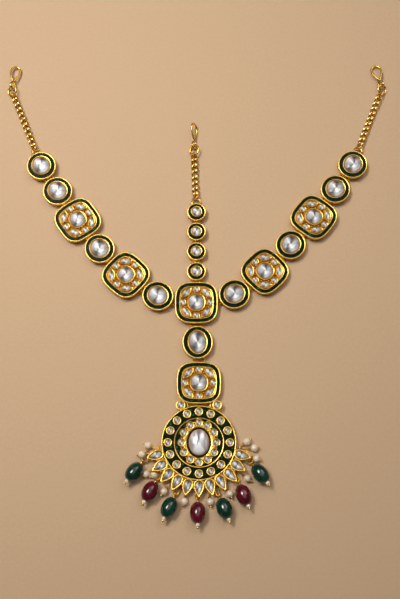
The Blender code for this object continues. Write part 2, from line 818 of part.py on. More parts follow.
def rolled(heading, roll):
    """Unit vector across the heading, turned about it by the roll."""
    flat = direction(heading + 90)
    angle = math.radians(roll)
    return flat * math.cos(angle) + Vector((0, 0, 1)) * math.sin(angle)


def link(bm, centre, heading, rise, rolls, held):
    """A curb link: an oval of wire twisted about the chain from one roll to the other, later or sooner
    where an end is held by a bail (1) or a ring (-1)."""
    length = CHAIN_PITCH + CHAIN_WIRE - CHAIN_SOLDER
    width = CHAIN_WIDTH - CHAIN_WIRE
    path = []
    normals = []
    for k in range(LINK_POINTS):
        angle = 2 * math.pi * k / LINK_POINTS
        share = math.cos(angle)
        twist = (share + 1) / 2
        if held > 0:
            twist = twist ** 2
        if held < 0:
            twist = 1 - (1 - twist) ** 2
        roll = rolls[0] + (rolls[1] - rolls[0]) * twist
        along = direction(heading) * (length / 2 * share) + Vector((0, 0, rise * share / 2))
        path.append(centre + along + rolled(heading, roll) * (width / 2 * math.sin(angle)))
        normals.append(rolled(heading, roll + 90))
    wire(bm, path, CHAIN_WIRE / 2, normals, closed=True)


def chain_height(share):
    """Height of the chain's axis: its ends are up at the bail and the ring, its middle lies lower."""
    ends = BAIL_Z + (RING_Z - BAIL_Z) * share
    return CHAIN_MIDDLE_Z + (ends - CHAIN_MIDDLE_Z) * (2 * share - 1) ** 2


def link_rolls(held, ring_roll):
    """Rolls of a link's two ends: a held end stands across the wire that holds it."""
    first = -HELD_LINK_ROLL if held > 0 else -LINK_ROLL
    last = ring_roll - math.copysign(90, ring_roll) if held < 0 else LINK_ROLL
    return first, last


def build_chain(entry, start, gold):
    """A curb chain whose first link goes round the bail and whose last goes round the jump ring;
    returns the middle of the jump ring's near wire."""
    count, heading = entry.links, entry.heading
    link_length = CHAIN_PITCH + CHAIN_WIRE - CHAIN_SOLDER
    first = link_length / 2 - (BAIL_WIRE + CHAIN_WIRE) / 2 - CHAIN_CLEARANCE
    parts = [bmesh.new(), bmesh.new()]
    for k in range(count):
        centre = start + (first + k * CHAIN_PITCH) * direction(heading)
        share = k / (count - 1)
        centre.z = chain_height(share)
        rise = chain_height(share + 0.5 / count) - chain_height(share - 0.5 / count)
        held = 1 if k == 0 else -1 if k == count - 1 else 0
        link(parts[k % 2], centre, heading, rise, link_rolls(held, entry.ring_roll), held)
    chain = add_object(entry.side + "_chain", parts[0], gold)
    solder(chain, add_object(entry.side + "_chain_even_links", parts[1], gold))
    last = first + (count - 1) * CHAIN_PITCH + link_length / 2
    return start + (last - (RING_WIRE + CHAIN_WIRE) / 2 - CHAIN_CLEARANCE) * direction(heading)


def build_bail(outermost, heading, gold):
    """A ring of wire soldered on the edge of the strand's last setting; returns its far wire's middle."""
    place, edge = outermost["place"], outermost["edge"]
    back = outermost["position"] + outermost["length"] * direction(heading)
    reach = outermost["length"] - depth_to_edge(edge, place, back, heading + 180, 0)
    centre = outermost["position"] + (reach + BAIL_OUTREACH) * direction(heading)
    centre.z = BAIL_Z
    radius = (BAIL_DIAMETER - BAIL_WIRE) / 2
    first, step = heading - BAIL_HALF_TURN, 2 * BAIL_HALF_TURN / (BAIL_POINTS - 1)
    angles = [first + step * k for k in range(BAIL_POINTS)]
    bm = bmesh.new()
    flat_wire(bm, [centre + radius * direction(a) for a in angles], BAIL_WIRE / 2, Vector((0, 0, 1)))
    solder(outermost["object"], add_object(outermost["name"] + "_bail", bm, gold))
    return centre + radius * direction(heading)


def ring_point(centre, heading, roll, turn):
    """A point of the jump ring's centre line, at an angle from the chain's heading in the ring's plane."""
    radius = (RING_DIAMETER - RING_WIRE) / 2
    return centre + radius * (direction(heading) * math.cos(turn) + rolled(heading, roll) * math.sin(turn))


def build_ring(entry, near, gold):
    """The jump ring that holds the hook; returns its middle."""
    heading, roll = entry.heading, entry.ring_roll
    centre = near + (RING_DIAMETER - RING_WIRE) / 2 * direction(heading)
    centre.z = RING_Z
    bm = bmesh.new()
    turns = [2 * math.pi * k / RING_POINTS for k in range(RING_POINTS)]
    path = [ring_point(centre, heading, roll, turn) for turn in turns]
    flat_wire(bm, path, RING_WIRE / 2, rolled(heading, roll + 90), closed=True)
    add_object(entry.side + "_ring", bm, gold)
    return centre


def teardrop_point(length, width, turn):
    """A point of a drop-shaped loop that starts and ends at its neck: along and across."""
    along = length / 2 * (1 - math.cos(turn))
    across = width / 2 * math.sin(turn) * math.sin(turn / 2) / TEARDROP_PEAK
    return along, across


def build_hook(entry, ring_centre, gold):
    """One wire: a drop-shaped loop, a crossing at the neck and a small eye round the jump ring."""
    ahead = direction(entry.hook_heading)
    lean = math.tan(math.radians(entry.hook_heading - entry.heading))
    turn = math.atan(lean / math.cos(math.radians(entry.ring_roll)))
    held = ring_point(ring_centre, entry.heading, entry.ring_roll, turn)
    neck = held + (HOOK_EYE_LENGTH - (RING_WIRE + HOOK_WIRE) / 2 - CHAIN_CLEARANCE) * ahead
    half_width = HOOK_LOOP_WIDTH / 2 * math.sin(math.radians(abs(entry.loop_roll)))
    fall = neck.z - HOOK_END_HEIGHT - HOOK_WIRE / 2 - half_width
    loop_side = rolled(entry.hook_heading, entry.loop_roll)
    eye_side = rolled(entry.hook_heading, entry.eye_roll)
    path = []
    normals = []
    start, end = math.radians(HOOK_START_TURN), 2 * math.pi
    for k in range(HOOK_LOOP_POINTS):
        turn = start + (end - start) * k / HOOK_LOOP_POINTS
        along, across = teardrop_point(HOOK_LOOP_LENGTH, HOOK_LOOP_WIDTH, turn)
        down = Vector((0, 0, -fall * along / HOOK_LOOP_LENGTH))
        path.append(neck + along * ahead + across * loop_side + down)
        normals.append(rolled(entry.hook_heading, entry.loop_roll + 90))
    for k in range(HOOK_EYE_POINTS):
        turn = math.radians(HOOK_EYE_TURN) * k / (HOOK_EYE_POINTS - 1)
        along, across = teardrop_point(HOOK_EYE_LENGTH, HOOK_EYE_WIDTH, turn)
        path.append(neck - along * ahead + across * eye_side)
        roll = entry.loop_roll if k == 0 else entry.eye_roll
        normals.append(rolled(entry.hook_heading, roll + 90))
    bm = bmesh.new()
    wire(bm, path, HOOK_WIRE / 2, normals)
    add_object(entry.side + "_hook", bm, gold)


def main():
    clear_scene()
    materials = {name: make_material(name) for name in MATERIALS}
    gold, stone = materials["gold"], materials["stone"]
    origin = Vector((0, 0, 0))
    centre = build_setting("centre_square", "square", placed(origin, 0), gold)
    build_stone("centre_square", "square", placed(origin, 0), stone)
    strands = (
        ("left", LEFT_STRAND, 180),
        ("right", RIGHT_STRAND, 0),
        ("top", TOP_STRAND, 90),
        ("lower", LOWER_STRAND, 270),
    )
    ends = {}
    for side, rows, heading in strands:
        first = {
            "name": "centre_square", "kind": "square", "heading": heading, "length": SQUARE_SIDE,
            "position": origin, "place": placed(origin, 0), "edge": setting_edge("square"), "object": centre,
        }
        ends[side] = build_strand(rows, first, gold, stone)
    build_fringe(medallion_place(ends["lower"]["place"]), gold, materials)
    for entry in CHAINS:
        near = build_bail(ends[entry.side], entry.heading, gold)
        far = build_chain(entry, near, gold)
        ring = build_ring(entry, far, gold)
        build_hook(entry, ring, gold)


main()
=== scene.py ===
"""Looks of a matha patti: gold settings with green enamel and foil-backed stones, chains, wire
hooks, and a round pendant with petals, pearls and bead drops, lying face up on a pale floor.

The file is laid out as an add-on and run as a script. Lengths are in metres, written in
millimetres.
"""

import math
from collections import namedtuple

import bmesh
import bpy
import numpy as np
from bpy.props import FloatProperty, FloatVectorProperty, IntProperty, PointerProperty
from mathutils import Matrix, Vector


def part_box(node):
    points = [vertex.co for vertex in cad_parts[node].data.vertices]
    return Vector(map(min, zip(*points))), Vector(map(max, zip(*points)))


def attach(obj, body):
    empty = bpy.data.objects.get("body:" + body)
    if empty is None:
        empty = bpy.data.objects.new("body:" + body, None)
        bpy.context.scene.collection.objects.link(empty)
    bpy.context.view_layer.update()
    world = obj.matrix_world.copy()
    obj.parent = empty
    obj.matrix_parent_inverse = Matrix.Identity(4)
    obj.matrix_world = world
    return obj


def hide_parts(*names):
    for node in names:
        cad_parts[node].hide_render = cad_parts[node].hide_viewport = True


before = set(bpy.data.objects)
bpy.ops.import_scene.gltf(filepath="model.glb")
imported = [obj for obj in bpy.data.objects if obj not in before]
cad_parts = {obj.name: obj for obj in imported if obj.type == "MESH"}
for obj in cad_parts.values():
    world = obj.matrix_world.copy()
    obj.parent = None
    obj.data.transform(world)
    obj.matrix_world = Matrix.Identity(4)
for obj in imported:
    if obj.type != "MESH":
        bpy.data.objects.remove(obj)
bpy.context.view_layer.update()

bl_info = {
    "name": "Matha patti",
    "version": (1, 0, 0),
    "blender": (4, 5, 0),
    "location": "View3D > Sidebar > Matha patti",
    "description": "Builds the looks of a matha patti round its packed solids",
    "category": "Object",
}

MM = 0.001
UP = Vector((0, 0, 1))
HERE = Matrix()

# Sizes of the settings, as the solids have them
FACE = 4.2 * MM
SETTING_SIZES = {
    "oval": (17.5 * MM, 16.7 * MM),
    "lower_oval": (18.5 * MM, 16.7 * MM),
    "round": (10.8 * MM, 10.8 * MM),
    "square": (23.9 * MM, 23.9 * MM),
    "lower_square": (23.1 * MM, 24.1 * MM),
}
CUSHION_POWER = 3.05
COLLETS = {
    "oval": (12.3 * MM, 11.5 * MM),
    "lower_oval": (13.8 * MM, 11.0 * MM),
    "round": (6.5 * MM, 6.5 * MM),
}
ENAMEL_FLOOR = FACE - 0.9 * MM
ENAMEL_TOP = FACE - 0.15 * MM
ENAMEL_SINK = 0.05 * MM
ENAMEL_HOLLOW = 0.03 * MM

# How far lips and girdles stand above the face
LIP_RISE = {
    "oval": 0.45 * MM,
    "channel": 0.1 * MM,
    "field_centre": 0.5 * MM,
    "field": 0.2 * MM,
    "medallion_ring": 0.15 * MM,
    "wreath": 0.05 * MM,
    "black_rim": 0.75 * MM,
    "upper_collet": 0.3 * MM,
    "petal": 0.2 * MM,
}
GIRDLE_RISE = {"oval": 0.15 * MM, "field_centre": 0.2 * MM, "dome": 0.4 * MM}

# Rolled lip of a collet: share of the way inwards and depth under its top
LIP_PROFILE = (
    (0.0, 0.3 * MM), (0.08, 0.12 * MM), (0.28, 0.0), (0.55, 0.02 * MM), (0.85, 0.16 * MM),
    (1.0, 0.35 * MM),
)

# Stones: a small stone's girdle lies this deep under its lip, and a stone laps under the gold.
# The crown's two inner rings are a share of the outline, at a share of the rise.
GIRDLE_DEPTH = 0.3 * MM
STONE_LAP = 0.1 * MM
MAIN_RING = (0.78, 0.6)
TABLE = (0.56, 1.0)
SMALL_STONE = 2.9 * MM
SMALL_STONE_RISE = 0.5 * MM
SMALL_STONE_FACETS = 8

# Field of a square setting. A granule's reach is from the setting's middle.
Granule = namedtuple("Granule", "reach angle radius")
FIELD_POWER = 2.4
FIELD_COLLET = 10.1 * MM
FIELD_COLLET_LIP = 0.75 * MM
FIELD_STONE = 8.7 * MM
FIELD_STONE_RISE = 1.2 * MM
FIELD_ROUND = 4.0 * MM
FIELD_ROUND_INSET = 4.3 * MM
LEAF = (7.6 * MM, 3.9 * MM)
LEAF_OPENING = (6.1 * MM, 2.7 * MM)
LEAF_STONE = (6.2 * MM, 2.8 * MM)
LEAF_STONE_RISE = 0.6 * MM
LEAF_REACH = 7.95 * MM
FIELD_GRANULES = (
    Granule(8.7 * MM, 17, 0.6 * MM),
    Granule(6.0 * MM, 25, 0.5 * MM),
    Granule(7.1 * MM, 24, 0.4 * MM),
    Granule(5.6 * MM, 11, 0.4 * MM),
)
FIELD_GRANULE_Z = FACE - 0.35 * MM

# Junctions between settings
LINK_WIRE = 0.55 * MM
LINK_PITCH = 0.75 * MM
LINK_HEIGHT = 1.5 * MM
EAR_SPREAD = 5.4 * MM
ROUND_EAR_SPREAD = 3.2 * MM
STIFF_BEND = 36.0
LEG_LENGTH = 3.3 * MM
STAPLE_CORNER = 0.5 * MM

# Medallion and what is round it. A ring of collets is an oval, tall along the medallion's axis.
ColletRing = namedtuple("ColletRing", "count tall wide collet rise")
MEDALLION_DIAMETER = 40.0 * MM
MIDDLE_RING = (26.8 * MM, 0.8 * MM)
OUTER_COLLETS = ColletRing(16, 33.0 * MM, 33.0 * MM, 4.7 * MM, 0.4 * MM)
INNER_COLLETS = ColletRing(12, 20.9 * MM, 18.4 * MM, 4.4 * MM, 0.55 * MM)
WREATH_INSET = 0.6 * MM
WREATH_GRANULES = ((1.06, 0.5 * MM), (0.93, 0.6 * MM), (0.8, 0.5 * MM))
WREATH_GRANULE_Z = FACE - 0.05 * MM
CENTRE_STONE = (14.0 * MM, 11.0 * MM)
CENTRE_STONE_RISE = 2.6 * MM
CENTRE_RIM = 0.75 * MM
DOME_ROWS = 12
COLLET_DIAMETER = 5.4 * MM
COLLET_ANGLE = 64.0
COLLET_OVERLAP = 0.4 * MM
COLLET_STONE = 3.3 * MM
STRUT_OFFSET = 6.2 * MM
STRUT_ENDS = (-21.6 * MM, -18.4 * MM)
STRUT_TAPER = 0.9
PETAL_COUNT = 11
PETAL_STEP = 14.7
PETAL_SIZE = (9.7 * MM, 5.7 * MM)
PETAL_WALL = (1.0 * MM, 1.8 * MM)
PETAL_START = 19.5 * MM
PETAL_BASE = 2.9 * MM
PETAL_STONE_RISE = 0.7 * MM
PETAL_STONE_MIDDLE = 0.42
OUTER_GRANULE = (23.9 * MM, 0.75 * MM, 2.7 * MM)
INNER_GRANULE = (20.8 * MM, 0.5 * MM, FACE - 0.3 * MM)
FRINGE_MIDDLE = -90.0

# Points of an outline, and of the fine one that they are taken from
DENSE_STEPS = 1440
SETTING_STEPS = 96
MEDALLION_STEPS = 144
DOME_STEPS = 64
COLLET_STEPS = 48
LEAF_STEPS = 40
ROUND_STEPS = 28

# Fringe
GALLERY_RADIUS = 21.9 * MM
GALLERY_WIRE = 0.9 * MM
GALLERY_HALF_SPAN = 86.0
GALLERY_Z = 1.3 * MM
BEAD_LENGTH = 10.6 * MM
BEAD_DIAMETER = 8.1 * MM
SHOWN_BEAD = (11.3 * MM, 8.15 * MM)
SHOWN_BEAD_TILT = 8.0
SHOWN_BEAD_SHIFT = 0.65 * MM
BEAD_END = math.radians(84)
BEAD_ROWS = 28
BEAD_FULLNESS = 0.85
BEAD_HOLE = 0.3 * MM
DROP_WIRE = 0.9 * MM
DROP_LOOP_DIAMETER = 2.7 * MM
DROP_LOOP_Z = 1.5 * MM
DROP_NECK = 0.5 * MM
NECK_COILS = (0.05 * MM, 0.45 * MM)
NECK_COIL_RADIUS = 0.5 * MM
NECK_COIL_WIRE = 0.44 * MM
HEADPIN_START = -BEAD_LENGTH / 2 - 0.8 * MM
TAIL_PEARL_SINK = 0.4 * MM
TAIL_BALL_SINK = 0.6 * MM
EYE_WIDTH = 3.0 * MM
END_EYE_WIDTH = 4.4 * MM
EYE_FOOT = 0.28
EYE_CORNER = 0.9
PEARL_PIN = 0.56 * MM
PEARL_PIN_END = 0.2 * MM
PEARL_BALL = (0.45 * MM, 0.62 * MM)
PEARL_COILS = ((0.25 * MM, 0.62 * MM), (0.75 * MM, 0.55 * MM))
PEARL_COIL_WIRE = 0.52 * MM

# Chains, jump rings and hooks
CHAIN_WIRE = 1.0 * MM
CHAIN_PITCH = 3.6 * MM
CHAIN_WIDTH = 4.1 * MM
CHAIN_SOLDER = 0.28 * MM
CHAIN_CLEARANCE = 0.25 * MM
CHAIN_MIDDLE_Z = 1.2 * MM
LINK_ROLL = 45.0
HELD_LINK_ROLL = 80.0
BAIL_DIAMETER = 5.6 * MM
BAIL_WIRE = 1.0 * MM
BAIL_Z = 1.9 * MM
BAIL_HALF_TURN = 150.0
RING_DIAMETER = 6.7 * MM
RING_WIRE = 1.0 * MM
RING_Z = 2.0 * MM
HOOK_WIRE = 1.15 * MM
HOOK_LOOP = (10.4 * MM, 5.4 * MM)
HOOK_EYE = (4.6 * MM, 3.8 * MM)
HOOK_END_HEIGHT = 0.5 * MM
HOOK_START_TURN = 38.0
HOOK_EYE_TURN = 300.0
TEARDROP_PEAK = 4 / math.sqrt(27)

# Points along a wire and round it, and the turns at which its round end is cut into rows
STAPLE_CORNER_STEPS = 5
EAR_STEPS = 9
EYE_CORNER_STEPS = 8
GALLERY_STEPS = 72
LINK_STEPS = 28
RING_STEPS = 36
HOOK_STEPS = 48
HOOK_EYE_STEPS = 24
HOOK_TWIST_STEPS = 4
LOOP_STEPS = 20
COIL_STEPS = 14
WIRE_SIDES = 8
HOOK_SIDES = 10
WIRE_END_TURNS = (1.35, 1.0, 0.55)

# Sides and rings of the balls, and sides of the other turned parts
BALL_CUTS = {
    "field_granule": (10, 6),
    "granule": (12, 7),
    "pin_ball": (14, 9),
    "tail_ball": (16, 10),
    "tail_pearl": (20, 12),
    "pearl": (28, 16),
}
BEAD_SIDES = 32
HEADPIN_SIDES = 8

# Columns of the tables. Headings and angles are in degrees from +X, a reach is a share of the
# medallion's radius, from its middle, and a foot is a share of the gallery wire's half span.
Strand = namedtuple("Strand", "name first_heading settings")
Setting = namedtuple("Setting", "node kind heading")
Chain = namedtuple("Chain", "side links heading ring_roll hook_heading loop_roll eye_roll")
Drop = namedtuple("Drop", "angle reach heading eye_width glass")
Pearl = namedtuple("Pearl", "angle reach foot")

STRANDS = (
    Strand("left", 180, (
        Setting("left_oval_4", "oval", 156),
        Setting("left_square_2", "square", 138),
        Setting("left_oval_3", "oval", 129),
        Setting("left_square_1", "square", 125),
        Setting("left_oval_2", "oval", 124),
        Setting("left_oval_1", "oval", 121),
    )),
    Strand("right", 0, (
        Setting("right_oval_4", "oval", 30),
        Setting("right_square_2", "square", 44),
        Setting("right_oval_3", "oval", 50),
        Setting("right_square_1", "square", 52),
        Setting("right_oval_2", "oval", 54),
        Setting("right_oval_1", "oval", 57),
    )),
    Strand("top", 90, (
        Setting("top_round_4", "round", 90),
        Setting("top_round_3", "round", 90),
        Setting("top_round_2", "round", 90),
        Setting("top_round_1", "round", 90),
    )),
    Strand("lower", 270, (
        Setting("lower_oval", "lower_oval", 274),
        Setting("lower_square", "lower_square", 270),
    )),
)
CHAINS = (
    Chain("left", 11, 112, -30, 84, 8, 50),
    Chain("right", 11, 68, 30, 102, -8, -50),
    Chain("top", 8, 92, -30, 90, 58, 50),
)
DROPS = (
    Drop(-156.1, 1.84, -127, END_EYE_WIDTH, "green_glass"),
    Drop(-135.3, 1.78, -118, EYE_WIDTH, "red_glass"),
    Drop(-114.6, 1.83, -115, EYE_WIDTH, "green_glass"),
    Drop(-91.0, 1.795, -90, EYE_WIDTH, "red_glass"),
    Drop(-69.0, 1.81, -68, EYE_WIDTH, "green_glass"),
    Drop(-49.3, 1.77, -68, EYE_WIDTH, "red_glass"),
    Drop(-26.4, 1.78, -53, END_EYE_WIDTH, "green_glass"),
)
PEARLS = (
    Pearl(-177.5, 1.36, -0.942),
    Pearl(-168.6, 1.535, -0.907),
    Pearl(-149.5, 1.605, -0.692),
    Pearl(-144.6, 1.45, -0.61),
    Pearl(-125.8, 1.57, -0.416),
    Pearl(-103.9, 1.58, -0.162),
    Pearl(-79.2, 1.57, 0.126),
    Pearl(-58.9, 1.56, 0.362),
    Pearl(-36.1, 1.58, 0.627),
    Pearl(-15.1, 1.58, 0.895),
    Pearl(-5.3, 1.48, 0.953),
    Pearl(1.5, 1.28, 0.994),
)

# Camera over the ornament: where it looks, how high it stands and how far away
CAMERA_AIM = (2.0 * MM, 2.9 * MM, 0.0)
CAMERA_ELEVATION = 73.0
CAMERA_DISTANCE = 0.557
CAMERA_LENS = 60.0
CAMERA_CLIP = 0.01

# Lights: place, aim and size in metres, spread in degrees
Light = namedtuple("Light", "name place aim size spread")
KEY_LIGHT = Light("key_light", (-0.55, 0.38, 1.05), (-0.15, 0.14, 0), 0.62, 38)
FILL_LIGHT = Light("fill_light", (0.45, 0.45, 0.75), (0, 0, 0), 0.5, 180)

# Direction of the bright part of the room, over the ornament and a little behind it, and how far
# (as a cosine) it is still dim and already bright
ROOM_TOP = (0.0, 0.28, 0.96)
ROOM_DIM = 0.76
ROOM_BRIGHT = 0.97

FLOOR_HALF = 1.5
FLOOR_CELLS = 30
FLOOR_Z = -0.02 * MM


def linear(hexadecimal):
    """An sRGB hex colour as linear red, green and blue."""
    shares = [int(hexadecimal[k:k + 2], 16) / 255 for k in (0, 2, 4)]
    return tuple(c / 12.92 if c <= 0.04045 else ((c + 0.055) / 1.055) ** 2.4 for c in shares)


def length_setting(name, description, default):
    return FloatProperty(
        name=name, description=description, default=default, min=0.0, precision=5,
        unit="LENGTH", subtype="DISTANCE",
    )


def colour_setting(name, description, hexadecimal):
    return FloatVectorProperty(
        name=name, description=description, default=linear(hexadecimal), size=3, min=0.0, max=1.0,
        subtype="COLOR",
    )


def light_setting(name, description, default):
    return FloatProperty(name=name, description=description, default=default, min=0.0)


# What a user would change

class MATHA_PG_gold(bpy.types.PropertyGroup):
    """Sizes and colours of the gold settings and their enamel."""

    gold: colour_setting("Gold", "Colour of the polished gold plating", "F8CA5C")
    # Painted shade: this colour is darker than the gold's and stands in for the shade that falls in
    # the deep places between the collets.
    recess_shade: colour_setting("Recess", "Colour of the gold in the deep places", "B06A18")
    enamel: colour_setting("Enamel", "Colour of the green enamel", "05190F")
    # Painted glint: the lighter fleck colour stands in for the gold ground glinting through the
    # enamel.
    fleck_glint: colour_setting("Fleck", "Colour of the flecks in the enamel", "2E6B4E")
    black: colour_setting("Black", "Colour of the black enamel round the domed stone", "141D19")
    rim: length_setting("Rim", "Width of a setting's outer rim", 0.8 * MM)
    channel: length_setting("Channel", "Width of a square's enamelled channel", 1.65 * MM)
    lip: length_setting("Lip", "Width of the lip round a main stone", 0.75 * MM)
    grain_pitch: length_setting("Grain pitch", "Distance between the grains on a rim", 0.7 * MM)
    grain_rise: length_setting("Grain rise", "Height of the grains on a rim", 0.015 * MM)


class MATHA_PG_stones(bpy.types.PropertyGroup):
    """Sizes and colours of the stones."""

    # Painted reflection: the foil colour and the shade colour are the bright and dark ends of the
    # reflection painted on the stones.
    foil: colour_setting("Foil", "Colour of the silver foil behind the stones", "FBFAFA")
    shade: colour_setting("Shade", "Colour of the darkest facets", "4A4440")
    crown: length_setting("Crown", "Rise of a main stone above its girdle", 1.3 * MM)
    small_crown: length_setting("Small crown", "Rise of a small stone", 0.6 * MM)
    # Painted reflection: these edge colours stand in for the gold mirrored at a stone's edge.
    edge: colour_setting("Edge", "Colour that the gold lends to a stone's edge", "946840")
    dome_edge_reflection: colour_setting("Dome edge", "Colour at the edge of the domed stone", "D9A076")
    main_facets: IntProperty(
        name="Main facets", description="Kite facets of a stone", default=8, min=6, max=16,
    )


class MATHA_PG_fringe(bpy.types.PropertyGroup):
    """Sizes and colours of the pearls and beads."""

    pearl: colour_setting("Pearl", "Colour of the pearls", "F0E2CC")
    green: colour_setting("Green glass", "Colour of the green beads", "0C3A28")
    red: colour_setting("Red glass", "Colour of the red beads", "5E0A1C")
    pearl_diameter: length_setting("Pearl", "Diameter of a pearl", 3.9 * MM)
    tail_pearl: length_setting("Tail pearl", "Diameter of the pearl under a bead", 2.3 * MM)
    tail_ball: length_setting("Tail ball", "Diameter of the gold ball under a bead", 1.6 * MM)


class MATHA_PG_stage(bpy.types.PropertyGroup):
    """Floor and light."""

    floor: colour_setting("Floor", "Colour of the pale floor", "CDAD8A")
    light: colour_setting("Light", "Colour of the studio light", "FFFDFB")
    key_power: light_setting("Key power", "Power of the main light, in watts", 1.1)
    fill_power: light_setting("Fill power", "Power of the fill light, in watts", 1.4)
    room_top: light_setting("Room top", "Brightness of the room overhead", 1.0)
    room_side: light_setting("Room side", "Brightness of the room's sides", 0.07)


# Materials

# Attribute that places a stone's points in its painted reflection, and the factors of each stone's
# own number.
REFLECTION_ATTRIBUTE = "reflection_place"
REFLECTION_NUMBER = (40, 7)


def fill_sockets(tree, node, values):
    """Sets a node's sockets. A value may be another node's socket, and is linked then."""
    for name, value in values.items():
        if isinstance(value, bpy.types.NodeSocket):
            tree.links.new(value, node.inputs[name])
        else:
            node.inputs[name].default_value = value


def add_node(tree, kind, values=None, stops=(), **settings):
    """Adds a node. Settings are its own, values go to its sockets, and stops are a ramp's positions
    and linear colours."""
    node = tree.nodes.new(kind)
    for name, value in settings.items():
        setattr(node, name, value)
    fill_sockets(tree, node, values or {})
    if stops:
        elements = node.color_ramp.elements
        while len(elements) < len(stops):
            elements.new(1.0)
        for element, (position, colour) in zip(elements, stops):
            element.position = position
            element.color = (*colour, 1)
    return node


def new_material(name, values):
    """A material whose Principled shader has these values; returns it with its tree and shader."""
    material = bpy.data.materials.new(name)
    material.use_nodes = True
    tree = material.node_tree
    shader = tree.nodes["Principled BSDF"]
    fill_sockets(tree, shader, values)
    return material, tree, shader


def per_metre(size):
    """A texture scale whose features are this far apart."""
    return 1.0 / size


def shaded(colour, share):
    return tuple(c * share for c in colour)


def mixed(first, second, share):
    return tuple(a + (b - a) * share for a, b in zip(first, second))


def clouded(name, values, size, detail, stops, relief=None):
    """A material whose colour drifts in clouds of a real size. The relief is the strength and the
    depth of a bump by the same clouds."""
    material, tree, shader = new_material(name, values)
    place = add_node(tree, "ShaderNodeTexCoord").outputs["Object"]
    clouds = add_node(tree, "ShaderNodeTexNoise", {
        "Vector": place, "Scale": per_metre(size), "Detail": detail,
    }).outputs["Fac"]
    colour = add_node(tree, "ShaderNodeValToRGB", {"Fac": clouds}, stops)
    fill_sockets(tree, shader, {"Base Color": colour.outputs["Color"]})
    if relief:
        strength, depth = relief
        bump = add_node(tree, "ShaderNodeBump", {
            "Height": clouds, "Strength": strength, "Distance": depth,
        })
        fill_sockets(tree, shader, {"Normal": bump.outputs["Normal"]})
    return material


def polished_gold(name, settings):
    """Gold plating on cast and hand-filed brass, polished: bright and warm, with faint file waves,
    drawn coarser than a file leaves them so that they show."""
    return clouded(name, {
        "Metallic": 1.0, "Roughness": 0.27, "Coat Weight": 0.25, "Coat Roughness": 0.12,
    }, 1.4 * MM, 2.0, ((0.3, shaded(settings.gold, 0.82)), (0.7, settings.gold)), (0.2, 0.1 * MM))


def shaded_recess_gold(name, settings):
    """Rough gold in the deep places between the collets, with painted shade: its colour is darker
    than the polished gold's, standing in for the shade that falls between the collets. Its grit is
    drawn coarser than it is, so that it shows."""
    return clouded(name, {
        "Metallic": 0.9, "Roughness": 0.5,
    }, 0.8 * MM, 3.0, ((0.35, shaded(settings.recess_shade, 0.25)), (0.65, settings.recess_shade)),
        (0.8, 0.2 * MM))


def black_enamel(name, settings):
    """Black enamel line round the centre stone, fired and glossy, with the settings' green in its
    thin places."""
    return clouded(name, {
        "Roughness": 0.25, "IOR": 1.5, "Specular IOR Level": 0.2,
    }, 0.8 * MM, 2.0, ((0.4, linear("070908")), (0.7, settings.black)))


def cream_pearl(name, settings):
    """Imitation pearl: lacquered glass with a soft, slightly rosy sheen."""
    return clouded(name, {
        "Roughness": 0.3, "IOR": 1.53, "Coat Weight": 0.7, "Coat Roughness": 0.08,
    }, 2.4 * MM, 1.0, ((0.35, linear("E2C9AC")), (0.6, settings.pearl)))


def bead_glass(name, colour):
    """Deep-coloured pressed glass, polished, with clouds in it."""
    return clouded(name, {
        "Roughness": 0.08, "IOR": 1.52, "Coat Weight": 0.4, "Coat Roughness": 0.02,
    }, 4.5 * MM, 2.0, ((0.35, shaded(colour, 0.5)), (0.65, shaded(colour, 1.15))))


def green_glass(name, settings):
    return bead_glass(name, settings.green)


def red_glass(name, settings):
    return bead_glass(name, settings.red)


def floor_card(name, settings):
    """Smooth uncoated card: flat and pale. Its tooth is drawn coarser than it is, and faint."""
    return clouded(name, {
        "Roughness": 0.9, "IOR": 1.3,
    }, 1.5 * MM, 4.0, ((0.3, shaded(settings.floor, 0.95)), (0.7, settings.floor)))


def fired_enamel(name, settings):
    """Dark green vitreous enamel, fired and polished, with painted glints: lighter teal flecks in
    its cuts stand in for a gold ground glinting through it. The cuts are drawn coarser than a
    graver's, so that they show."""
    material, tree, shader = new_material(name, {
        "Roughness": 0.2, "IOR": 1.5, "Specular IOR Level": 0.06,
    })
    place = add_node(tree, "ShaderNodeTexCoord").outputs["Object"]
    cuts = add_node(tree, "ShaderNodeTexVoronoi", {
        "Vector": place, "Scale": per_metre(1.5 * MM),
    }).outputs["Distance"]
    cloud = add_node(tree, "ShaderNodeTexNoise", {
        "Vector": place, "Scale": per_metre(2.6 * MM), "Detail": 1.0,
    })
    depth = add_node(tree, "ShaderNodeMath", {0: cuts, 1: cloud.outputs["Fac"]}, operation="ADD")
    # Painted glints: the fleck colour lies in the cuts and the enamel's green lies between them.
    colour = add_node(tree, "ShaderNodeValToRGB", {"Fac": depth.outputs["Value"]}, (
        (0.5, settings.fleck_glint), (0.66, shaded(settings.fleck_glint, 0.3)), (0.84, settings.enamel),
    ))
    bump = add_node(tree, "ShaderNodeBump", {
        "Height": cuts, "Strength": 0.3, "Distance": 0.08 * MM,
    })
    fill_sockets(tree, shader, {
        "Base Color": colour.outputs["Color"], "Normal": bump.outputs["Normal"],
    })
    return material


